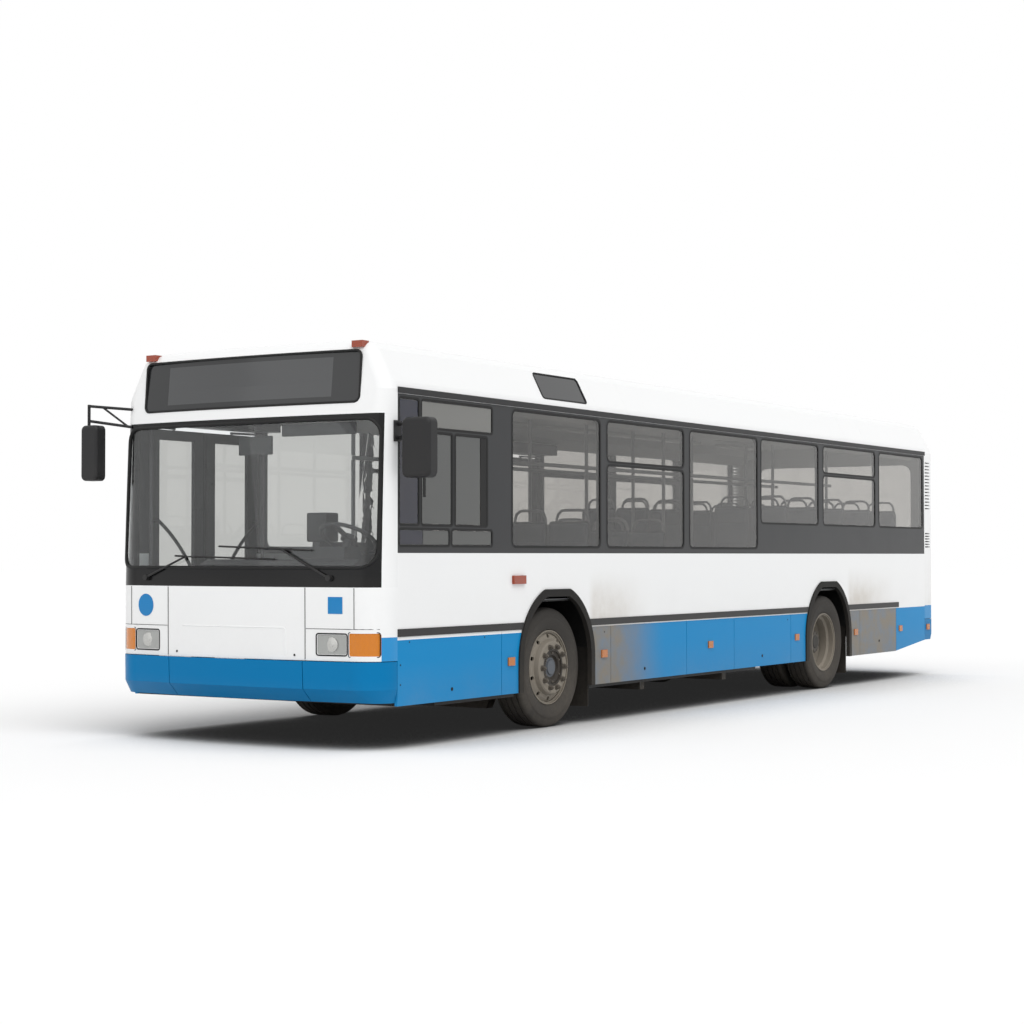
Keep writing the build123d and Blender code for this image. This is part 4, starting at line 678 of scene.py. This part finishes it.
seat_cloth = indoors("seat_cloth", (0.055, 0.062, 0.080), 0.88, shine=0.2)
cloth_tree = seat_cloth.node_tree
cloth_place = cloth_tree.nodes.new("ShaderNodeTexCoord").outputs["Object"]
cloth_weave = add_node(
    cloth_tree, "ShaderNodeTexVoronoi", Vector=cloth_place, Scale=420.0
).outputs["Distance"]
cloth_patch = add_node(
    cloth_tree, "ShaderNodeTexNoise", Vector=cloth_place, Scale=60.0, Detail=2.0
).outputs[0]
overlay(seat_cloth, ramp_up(cloth_tree, cloth_patch, 0.52, 0.60), (0.030, 0.036, 0.055))
cloth_bump = add_node(cloth_tree, "ShaderNodeBump", Height=cloth_weave, Distance=0.0006, Strength=0.5)
cloth_tree.links.new(cloth_bump.outputs[0], cloth_tree.nodes["Principled BSDF"].inputs["Normal"])


def evaluated(piece):
    """A new mesh of the piece as its modifiers leave it."""
    graph = bpy.context.evaluated_depsgraph_get()
    graph.update()
    return bpy.data.meshes.new_from_object(piece.evaluated_get(graph))


def sewn_pad(size, seams, faces):
    """A rounded pad about the origin, blown up like foam in its cover, with sewn channels along X."""
    form = bmesh.new()
    add_box(
        form, -size[0] / 2, size[0] / 2, -size[1] / 2, size[1] / 2, -size[2] / 2, size[2] / 2,
        bevel=min(size) * 0.30, segments=3,
    )
    mesh = bpy.data.meshes.new("pad")
    form.to_mesh(mesh)
    form.free()
    pad = bpy.data.objects.new("pad", mesh)
    bpy.context.scene.collection.objects.link(pad)
    remesh = pad.modifiers.new("remesh", "REMESH")
    remesh.mode = "VOXEL"
    remesh.voxel_size = PAD_VOXEL
    pad.data = evaluated(pad)
    pad.modifiers.clear()
    rest = [vert.co.copy() for vert in pad.data.vertices]
    cloth = pad.modifiers.new("cloth", "CLOTH")
    cloth.settings.quality = 5
    cloth.settings.mass = 0.3
    cloth.settings.use_pressure = True
    cloth.settings.uniform_pressure_force = PAD_PRESSURE
    cloth.settings.effector_weights.gravity = 0
    for number in range(1, PAD_FRAMES + 1):
        bpy.context.scene.frame_set(number)
    blown = evaluated(pad)
    pad.modifiers.clear()
    for vert, start, end in zip(pad.data.vertices, rest, blown.vertices):
        moved = end.co - start
        if moved.length > PAD_CAP:
            moved *= PAD_CAP / moved.length
        vert.co = start + moved
    bpy.context.scene.frame_set(1)
    for vert in pad.data.vertices:
        for seam_y in seams:
            away = abs(vert.co.y - seam_y * size[1])
            if away < SEAM_HALF and vert.co.z > 0:
                vert.co.z -= SEAM_DEPTH * (1 - away / SEAM_HALF)
    thin = pad.modifiers.new("thin", "DECIMATE")
    thin.ratio = min(1.0, faces / (2 * len(pad.data.polygons)))
    done = evaluated(pad)
    bpy.data.objects.remove(pad)
    return done


def place_pad(form, pad, place, lean):
    """Copies a pad into a form at its place, turned up by an angle in degrees."""
    before = len(form.verts)
    form.from_mesh(pad)
    form.verts.ensure_lookup_table()
    matrix = Matrix.LocRotScale(Vector(place), Matrix.Rotation(math.radians(lean), 3, "X"), None)
    bmesh.ops.transform(form, matrix=matrix, verts=form.verts[before:])


cushion_pad = sewn_pad((0.385, 0.405, 0.052), (0.28, -0.26), 1500)
back_pad = sewn_pad((0.375, 0.545, 0.040), (0.20, -0.20), 1500)

# Passenger seats
# Two seats side by side on a steel column: dished moulded shells, the two pads, and steel grab arches behind.
SEAT_X = (0.575, 0.990)
SEAT_ROWS = (
    (1, -2.420, 0.665, 1.030), (1, -1.750, 0.600, 0.600), (1, -1.080, 0.600, 0.600),
    (-1, -1.850, 0.600, 0.600), (-1, -1.180, 0.600, 0.600),
) + tuple(
    (side, back_y, 0.880, foot_z) for side in (1, -1) for back_y, foot_z in (
        (1.530, 0.620), (2.260, 1.030), (2.990, 1.030), (3.720, 0.620), (4.450, 0.620),
    )
)
seat_shell = indoors("seat_shell", (0.050, 0.052, 0.058), 0.45, shine=0.4)
grip_paint = indoors("grip_paint", (0.14, 0.145, 0.15), 0.30)
# Side view of the shell, from the front lip over the pan and up the back: (behind the back, above the base)
SHELL_LINE = (
    (-0.438, 0.372), (-0.425, 0.384), (-0.390, 0.390), (-0.250, 0.384), (-0.120, 0.386), (-0.050, 0.396),
    (-0.005, 0.430), (0.016, 0.500), (0.022, 0.620), (0.024, 0.760), (0.026, 0.880), (0.026, 0.950),
    (0.024, 0.985), (0.016, 0.998),
)
SHELL_STEPS = 10
SHELL_HALF = 0.203
SHELL_LIP = 0.020
SHELL_TAPER = (0.86, 0.95)
BACK_LEAN = 88
# Half of the grab arch, from the back of the shell to the top: (inward, ahead of its plane, above the base)
GRIP_LINE = (
    (0, 0.030, 0.700), (0, 0.008, 0.735), (0, 0, 0.800), (0, 0, 1.020), (0.014, 0, 1.060), (0.048, 0, 1.088),
    (0.085, 0, 1.092),
)
GRIP_RADIUS = 0.0125


def moulded_shell(form, seat_x, back_y, base_z):
    """A thin dished shell that is swept across the seat, its sides turned up and its top corners round."""
    rows = []
    for place, (behind, above) in enumerate(SHELL_LINE):
        share = place / (len(SHELL_LINE) - 1)
        from_end = min(place, len(SHELL_LINE) - 1 - place)
        half = SHELL_HALF * (SHELL_TAPER[from_end] if from_end < len(SHELL_TAPER) else 1.0)
        row = []
        for step in range(SHELL_STEPS + 1):
            across = 2 * step / SHELL_STEPS - 1
            lip = SHELL_LIP * abs(across) ** 6
            row.append(form.verts.new((
                seat_x + across * half,
                back_y + behind - lip * (share > 0.45),
                base_z + above + lip * (share <= 0.45),
            )))
        rows.append(row)
    faces = [
        form.faces.new((first[step], first[step + 1], second[step + 1], second[step]))
        for first, second in zip(rows, rows[1:]) for step in range(SHELL_STEPS)
    ]
    bmesh.ops.solidify(form, geom=faces, thickness=0.006)


for number, (side, back_y, base_z, foot_z) in enumerate(SEAT_ROWS):
    shells, pads, grips = bmesh.new(), bmesh.new(), bmesh.new()
    for seat_x in SEAT_X:
        x = side * seat_x
        moulded_shell(shells, x, back_y, base_z)
        place_pad(pads, cushion_pad, (x, back_y - 0.222, base_z + 0.412), 0)
        place_pad(pads, back_pad, (x, back_y - 0.004, base_z + 0.715), BACK_LEAN)
        grip_half, grip_y = 0.152, back_y + 0.058
        half_arch = [
            (x - grip_half + inward, grip_y - ahead, base_z + above) for inward, ahead, above in GRIP_LINE
        ]
        other_half = [(2 * x - point_x, y, z) for point_x, y, z in reversed(half_arch)]
        add_tube(grips, half_arch + other_half, GRIP_RADIUS)
    inner, outer = side * 0.560, side * 1.005
    for rail_y in (back_y - 0.385, back_y - 0.115):
        add_box(grips, inner, outer, rail_y, rail_y + 0.040, base_z + 0.335, base_z + 0.374, bevel=0.006)
    feet = (
        (0.700, 0.860, -0.300, -0.150, foot_z + 0.010, base_z + 0.338, 0.020, 3),
        (0.640, 0.920, -0.330, -0.110, foot_z, foot_z + 0.012, 0.004, 2),
    )
    if base_z + 0.33 - foot_z <= 0.05:
        feet = ((0.640, 0.920, -0.300, -0.150, foot_z, base_z + 0.374, 0.004, 2),)
    for x0, x1, y0, y1, z0, z1, bevel, segments in feet:
        add_box(grips, side * x0, side * x1, back_y + y0, back_y + y1, z0, z1, bevel, segments)
    shell_piece = add_piece(f"seat_shells_{number}", shells, seat_shell)
    pad_piece = add_piece(f"seat_pads_{number}", pads, seat_cloth)
    grip_piece = add_piece(f"seat_frames_{number}", grips, grip_paint)
    for piece in (shell_piece, pad_piece, grip_piece):
        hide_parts("passenger_seats")

# Driver's seat
# A suspension seat: a rubber-bellows column, thick bolstered pads and a headrest in the same cloth.
DRIVER_X = 0.620
driver_pads = bmesh.new()
for size, seams, place, lean in (
    ((0.455, 0.400, 0.095), (0.26, -0.26), (DRIVER_X, -4.505, 1.118), 0),
    ((0.440, 0.600, 0.070), (0.18, -0.18), (DRIVER_X, -4.238, 1.480), BACK_LEAN),
    ((0.235, 0.145, 0.050), (), (DRIVER_X, -4.240, 1.882), BACK_LEAN),
):
    place_pad(driver_pads, sewn_pad(size, seams, 2400), place, lean)
driver_pad_piece = add_piece("driver_seat_pads", driver_pads, seat_cloth)
# Boxes about the seat's middle: (half width, ends along, ends up, bevel, segments)
base_boxes = [(0.170, -4.600, -4.300, 0.682, 0.712, 0.008, 2)]
for fold in range(6):
    low = 0.712 + fold * 0.045
    base_boxes += [
        (0.128, -4.558, -4.342, low, low + 0.020, 0.006, 2),
        (0.150, -4.580, -4.320, low + 0.018, low + 0.047, 0.013, 2),
    ]
base_boxes += [
    (0.225, -4.700, -4.300, 0.985, 1.068, 0.025, 3), (0.215, -4.215, -4.192, 1.170, 1.770, 0.011, 3),
]
driver_base = bmesh.new()
for half, y0, y1, z0, z1, bevel, segments in base_boxes:
    add_box(driver_base, DRIVER_X - half, DRIVER_X + half, y0, y1, z0, z1, bevel, segments)
for post_x in (DRIVER_X - 0.050, DRIVER_X + 0.050):
    add_rod(driver_base, (post_x, -4.222, 1.740), (post_x, -4.230, 1.860), 0.006, 10)
driver_base_piece = add_piece("driver_seat_base", driver_base, seat_shell)
for piece in (driver_pad_piece, driver_base_piece):
    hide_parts("driver_seat")

# Window gaskets
# Black rubber gaskets round every side window and round the driver's panes, each a lip that covers the edge
# of the pane and of the plate round it.
REAR_WINDOWS = (
    (2.300, 3.710, 1.695, 2.197), (2.300, 3.710, 2.233, 2.500), (3.825, 5.150, 1.695, 2.500),
)
LEFT_WINDOWS = (
    (-3.700, -2.335, 1.450, 2.500), (-2.215, -0.825, 1.450, 2.132), (-2.215, -0.825, 2.168, 2.500),
    (-0.705, 0.715, 1.450, 2.500), (0.800, 2.170, 1.695, 2.500), *REAR_WINDOWS,
)
RIGHT_WINDOWS = (
    (-3.680, -2.335, 1.450, 2.500), (-2.215, -0.765, 1.450, 2.132), (-2.215, -0.765, 2.168, 2.500),
    (0.780, 2.170, 1.695, 2.197), (0.780, 2.170, 2.233, 2.500), *REAR_WINDOWS,
)
DRIVER_PANES = (
    (-5.200, -4.960, 1.600, 2.500), (-4.925, -4.530, 1.600, 2.270), (-4.495, -4.060, 1.600, 2.270),
    (-4.925, -3.990, 2.305, 2.500), (-5.200, -4.570, 1.450, 1.565), (-4.535, -3.990, 1.450, 1.565),
)
GASKET_INNER_X, GASKET_OUTER_X = 1.2445, 1.2492
gasket_rubber = indoors("gasket_rubber", (0.010, 0.010, 0.010), 0.55, amount=0.1, shine=0.25)


def rounded_corners(across0, across1, up0, up1, radius, steps):
    """The corner arcs of an upright rounded rectangle, in order from its top right."""
    points = []
    for centre_across, centre_up, start in (
        (across1 - radius, up1 - radius, 0), (across0 + radius, up1 - radius, 90),
        (across0 + radius, up0 + radius, 180), (across1 - radius, up0 + radius, 270),
    ):
        for step in range(steps + 1):
            turn = math.radians(start + 90 * step / steps)
            points.append((centre_across + radius * math.cos(turn), centre_up + radius * math.sin(turn)))
    return points


def add_ring(form, side, pane, radius, width):
    """A gasket: a lip of that width that overlaps the edge of the pane and of the plate round it."""
    y0, y1, z0, z1 = pane
    loops = []
    for grow, x in (
        (width, GASKET_INNER_X), (width, GASKET_OUTER_X - 0.002), (width + 0.003, GASKET_OUTER_X),
        (-width * 0.4, GASKET_OUTER_X), (-width * 0.4 + 0.002, GASKET_OUTER_X - 0.002),
        (-width * 0.4, GASKET_INNER_X),
    ):
        corners = rounded_corners(y0 - grow, y1 + grow, z0 - grow, z1 + grow, max(radius + grow, 0.004), 5)
        loops.append([form.verts.new((side * x, y, z)) for y, z in corners])
    for first, second in zip(loops, loops[1:] + loops[:1]):
        for step in range(len(first)):
            after = (step + 1) % len(first)
            form.faces.new((first[step], first[after], second[after], second[step]))


gaskets = bmesh.new()
for side, panes, radius, width in (
    (1, LEFT_WINDOWS, 0.045, 0.012), (-1, RIGHT_WINDOWS, 0.045, 0.012), (1, DRIVER_PANES, 0.020, 0.010),
):
    for pane in panes:
        add_ring(gaskets, side, pane, radius, width)
bmesh.ops.recalc_face_normals(gaskets, faces=gaskets.faces)
add_piece("window_gaskets", gaskets, gasket_rubber)

# Front details
# Rubber round the windscreen and the sign, gaps and screws of the mask's flaps, lamp bezels, a raised line on
# the middle flap, and two blank stickers. All of it lies on the bowed front.
FRONT_TIPS = (
    (0.560, -5.535), (1.152, -5.540), (1.290, -5.533), (2.385, -5.430), (2.560, -5.412), (2.850, -5.390),
)
FRONT_SHOULDER_Y = -5.235
FRONT_BOW = 0.060
FRONT_HALF = 1.250
STICKER_STEPS = 40


def front_y(x, z):
    """Where the outside of the bowed front lies."""
    tip = FRONT_TIPS[0][1]
    for (low, low_tip), (high, high_tip) in zip(FRONT_TIPS, FRONT_TIPS[1:]):
        if low <= z <= high:
            tip = low_tip + (high_tip - low_tip) * (z - low) / (high - low)
    radius = FRONT_SHOULDER_Y - tip - FRONT_BOW
    corner_x = FRONT_HALF - radius
    if abs(x) <= corner_x:
        return tip + FRONT_BOW * (x / corner_x) ** 2
    return FRONT_SHOULDER_Y - math.sqrt(max(radius ** 2 - (abs(x) - corner_x) ** 2, 0))


def on_front(places, proud=0.0, along=12, shortest=0.0):
    """Points on the front along a bent line, whose longer stretches are cut up to follow the bow."""
    points = [places[0]]
    for first, second in zip(places, places[1:]):
        count = along if math.dist(first, second) > shortest else 1
        points += [
            tuple(a + (b - a) * part / count for a, b in zip(first, second)) for part in range(1, count + 1)
        ]
    return [(x, front_y(x, z) - proud, z) for x, z in points]


def front_loop(x0, x1, z0, z1, radius, proud):
    """Points of a rounded rectangle on the front, closed."""
    flat = rounded_corners(x0, x1, z0, z1, radius, 6)
    return on_front(flat + flat[:1], proud, along=10, shortest=0.2)


screen_seal = bmesh.new()
add_tube(screen_seal, front_loop(-1.195, 1.195, 1.290, 2.350, 0.120, -0.002), 0.013)
add_tube(screen_seal, front_loop(-1.018, 1.018, 2.470, 2.841, 0.045, -0.002), 0.009)
add_piece("front_seals", screen_seal, gasket_rubber)

gap_lines = bmesh.new()
for side in (1, -1):
    for start, end, radius in (
        ((1.053, 0.860), (1.053, 1.148), 0.0030), ((0.655, 0.858), (1.205, 0.858), 0.0022),
        ((0.648, 0.642), (0.648, 1.146), 0.0034),
    ):
        add_tube(gap_lines, on_front([(side * x, z) for x, z in (start, end)]), radius, 6)
    for near_x, far_x, z0, z1, corner, radius in (
        (0.742, 0.996, 0.671, 0.825, 0.018, 0.0055), (1.006, 1.207, 0.662, 0.835, 0.012, 0.0035),
    ):
        x0, x1 = sorted((side * near_x, side * far_x))
        add_tube(gap_lines, front_loop(x0, x1, z0, z1, corner, -0.001), radius, 8)
    screw_x, screw_z = side * 0.556, 0.668
    screw_y = front_y(screw_x, screw_z)
    add_rod(
        gap_lines, (screw_x, screw_y + 0.004, screw_z), (screw_x, screw_y - 0.003, screw_z), 0.009, 12,
        bevel=0.002,
    )
add_piece("mask_gaps", gap_lines, gasket_rubber)

ridge = bmesh.new()
RIDGE_LINE = ((-0.496, 0.862), (0.462, 0.862), (0.474, 0.850), (0.474, 0.672))
add_tube(ridge, on_front(RIDGE_LINE, proud=-0.002), 0.006, 8)
add_piece("mask_ridge", ridge, white_paint)

sticker_blue = finish(
    "sticker_blue", (0.010, 0.200, 0.480), gloss=0.40, top=1.2, fade=0.6, amount=0.1, shine=0.2
)
stickers = bmesh.new()
for centre_x, centre_z, half, is_square in ((-0.891, 1.007, 0.084, False), (0.900, 1.025, 0.060, True)):
    centre = stickers.verts.new((centre_x, front_y(centre_x, centre_z) - 0.0015, centre_z))
    rings = []
    for part in (0.34, 0.67, 1.0):
        ring = []
        for step in range(STICKER_STEPS):
            turn = 2 * math.pi * step / STICKER_STEPS
            across, up = math.cos(turn), math.sin(turn)
            stretch = half * part / (max(abs(across), abs(up)) if is_square else 1)
            x, z = centre_x + stretch * across, centre_z + stretch * up
            ring.append(stickers.verts.new((x, front_y(x, z) - 0.0015, z)))
        rings.append(ring)
    for step in range(STICKER_STEPS):
        after = (step + 1) % STICKER_STEPS
        stickers.faces.new((centre, rings[0][step], rings[0][after]))
        for first, second in zip(rings, rings[1:]):
            stickers.faces.new((first[step], second[step], second[after], first[after]))
bmesh.ops.recalc_face_normals(stickers, faces=stickers.faces)
for face in stickers.faces:
    if face.normal.y > 0:
        face.normal_flip()
add_piece("front_stickers", stickers, sticker_blue)

# Headlamp reflectors
# Round reflector bowls and bulb shields, which read as soft rings on the lamp fronts.
LAMP_X, LAMP_Z = 0.869, 0.748
reflector_steel = indoors("reflector_steel", (0.50, 0.50, 0.48), 0.25, amount=0.1, metal=0.6)
reflectors = bmesh.new()
lamp_y = front_y(LAMP_X, LAMP_Z) + 0.001
for lamp_x in (LAMP_X, -LAMP_X):
    for reach, radius in ((0.0, 0.052), (0.0015, 0.040), (0.003, 0.018)):
        add_rod(
            reflectors, (lamp_x, lamp_y + 0.004, LAMP_Z), (lamp_x, lamp_y - reach, LAMP_Z), radius, 28,
            bevel=0.001,
        )
add_piece("headlamp_reflectors", reflectors, reflector_steel)

# Side details
# Square-key locks and screws on the skirt flaps, and the gasket of the side sign, which leans with the roof's
# edge.
LOCKS = ((0.806, 0.408), (3.805, 0.443), (-1.569, 0.401), (-4.539, 0.394))
DOORWAYS = ((-5.12, -3.80), (-0.655, 0.665))
SCREWS = ((-5.19, 0.60), (-5.19, 0.46), (-5.08, 0.76), (-4.10, 0.76), (-2.27, 0.74), (1.40, 0.74))
SIGN_Y0, SIGN_Y1 = -3.200, -2.510
SIGN_FOOT = (1.228 - (2.632 - 2.620) * 0.118 / 0.230, 2.632)
SIGN_HEAD = (1.228 - (2.838 - 2.620) * 0.118 / 0.230, 2.838)
side_details = bmesh.new()
for sign in (1, -1):
    for lock_y, lock_z in LOCKS:
        if sign < 0 and any(start < lock_y < end for start, end in DOORWAYS):
            continue
        add_rod(
            side_details, (sign * 1.247, lock_y, lock_z), (sign * 1.2535, lock_y, lock_z), 0.014, 16,
            bevel=0.002,
        )
        add_rod(side_details, (sign * 1.250, lock_y, lock_z), (sign * 1.2555, lock_y, lock_z), 0.006, 4)
for screw_y, screw_z in SCREWS:
    add_rod(side_details, (1.248, screw_y, screw_z), (1.2525, screw_y, screw_z), 0.006, 10, bevel=0.001)
(foot_x, foot_z), (head_x, head_z) = SIGN_FOOT, SIGN_HEAD
add_tube(side_details, [
    (foot_x, SIGN_Y0 + 0.02, foot_z), (foot_x, SIGN_Y1 - 0.02, foot_z),
    (foot_x - 0.004, SIGN_Y1 - 0.004, foot_z + 0.008), (foot_x - 0.010, SIGN_Y1, foot_z + 0.020),
    (head_x + 0.010, SIGN_Y1, head_z - 0.020), (head_x, SIGN_Y1 - 0.02, head_z),
    (head_x, SIGN_Y0 + 0.02, head_z), (head_x + 0.010, SIGN_Y0, head_z - 0.020),
    (foot_x - 0.010, SIGN_Y0, foot_z + 0.020), (foot_x - 0.004, SIGN_Y0 + 0.004, foot_z + 0.008),
    (foot_x, SIGN_Y0 + 0.02, foot_z),
], 0.007, 8)
add_piece("side_locks_and_seals", side_details, gasket_rubber)

# Driver's window sheets
# Flat coloured sheets just inside the driver's panes that give them their tones: pale above, grey on the two
# sliding panes, and navy behind the fixed front pane, with black guide channels and a pull slot.
FILMS = (
    ("pale_film", (0.36, 0.37, 0.37), ((-4.915, -4.000, 2.312, 2.492),)),
    ("grey_film", (0.150, 0.165, 0.172), (
        (-4.915, -4.540, 1.608, 2.262), (-4.485, -4.150, 1.608, 2.262), (-4.900, -4.000, 1.458, 1.558),
    )),
    ("navy_film", (0.004, 0.009, 0.050), ((-5.190, -4.970, 1.608, 2.492), (-5.190, -4.910, 1.458, 1.558))),
)
CHANNELS = (
    (-4.545, -4.480, 1.600, 2.270), (-4.150, -4.060, 1.600, 2.270), (-4.925, -4.060, 2.262, 2.305),
    (-4.925, -4.060, 1.565, 1.606), (-4.900, -4.872, 1.800, 1.985),
)
for name, colour, spots in FILMS:
    film_form = bmesh.new()
    for spot in spots:
        add_box(film_form, 1.2410, 1.2436, *spot, bevel=0.0008, segments=1)
    film_finish = finish(f"driver_{name}", colour, gloss=0.30, top=2.6, fade=1.2, amount=0.12, shine=0.5)
    add_piece(f"driver_window_{name}", film_form, film_finish)
channels = bmesh.new()
for spot in CHANNELS:
    add_box(channels, 1.2425, 1.2478, *spot, bevel=0.0012, segments=1)
add_piece("driver_window_channels", channels, gasket_rubber)

# Mirror glasses
# Silvered convex glass let into the back of each mirror housing, here as flat plates without a rim.
mirror_silver = indoors("mirror_silver", (0.80, 0.82, 0.83), 0.04, amount=0.0, metal=1.0)
mirror_form = bmesh.new()
for x0, x1, y, z0, z1 in ((1.352, 1.553, -5.2015, 1.950, 2.325), (-1.553, -1.427, -5.4015, 1.980, 2.360)):
    add_box(mirror_form, x0, x1, y - 0.003, y + 0.0035, z0, z1)
add_piece("mirror_glasses", mirror_form, mirror_silver)

# Cab and saloon fittings
# A ticket machine on its post and a sun blind by the windscreen, an inside mirror, and two rows of ceiling
# lamps that leave room for the roof hatches.
LAMP_STARTS = (-4.60, -3.30, -1.60, -0.30, 1.00, 2.05, 3.70)
LAMP_LENGTH = 1.05
HATCH_PLACES = (-2.1, 3.2)
lamp_strips = bmesh.new()
for sign in (1, -1):
    for y0 in LAMP_STARTS:
        if all(abs(y0 + 0.5 - hatch_y) > 0.6 for hatch_y in HATCH_PLACES):
            add_box(
                lamp_strips, sign * 0.56, sign * 0.70, y0, y0 + LAMP_LENGTH, 2.616, 2.650, bevel=0.012,
                segments=3,
            )
add_piece(
    "ceiling_lamps", lamp_strips, indoors("lamp_white", (0.62, 0.63, 0.62), 0.35, amount=0.1)
)
fittings = bmesh.new()
for x0, x1, y0, y1, z0, z1, bevel, segments in (
    (0.140, 0.330, -4.860, -4.700, 1.480, 1.700, 0.015, 3),
    (0.180, 0.290, -4.840, -4.720, 0.680, 1.485, 0.012, 2),
    (-0.160, 0.160, -5.290, -5.270, 2.120, 2.260, 0.010, 3),
):
    add_box(fittings, x0, x1, y0, y1, z0, z1, bevel, segments)
add_rod(fittings, (0.0, -5.280, 2.255), (0.0, -5.300, 2.420), 0.008, 10)
add_box(fittings, 0.330, 1.000, -5.385, -5.370, 2.240, 2.330, bevel=0.005)
add_piece("cab_fittings", fittings, dash_grey)

# Door seals
# Rubber fingers down the meeting edges of each pair of leaves.
for door, middle_y in (("front_door", -4.460), ("middle_door", 0.005)):
    for leaf, sign in (("front_leaf", -1), ("rear_leaf", 1)):
        seal = bmesh.new()
        seal_y0, seal_y1 = middle_y + sign * 0.0045, middle_y + sign * 0.022
        for lip_x in (-1.2465, -1.2175):
            add_box(
                seal, lip_x - 0.0025, lip_x + 0.0025, seal_y0, seal_y1, 0.396, 2.366, bevel=0.0012, segments=1
            )
        add_piece(f"{door}_{leaf}_seal", seal, gasket_rubber, f"{door}_{leaf}_body")

# Rear details
# A blank number plate over the engine lid, and the lid's handle with a lock on each side.
plate_white = finish("plate_white", (0.70, 0.70, 0.68), gloss=0.4, top=1.2, fade=0.9, amount=0.3)
plate_form = bmesh.new()
add_box(plate_form, -0.260, 0.260, 5.527, 5.533, 1.395, 1.507, bevel=0.002)
add_piece("number_plate", plate_form, plate_white)
handle_form = bmesh.new()
add_box(handle_form, -0.085, 0.085, 5.528, 5.538, 0.760, 0.800, bevel=0.004, segments=3)
for lock_x in (-0.60, 0.60):
    add_rod(handle_form, (lock_x, 5.520, 0.780), (lock_x, 5.534, 0.780), 0.013, 16, bevel=0.002)
add_piece("engine_lid_handle", handle_form, gasket_rubber, "engine_lid_body")
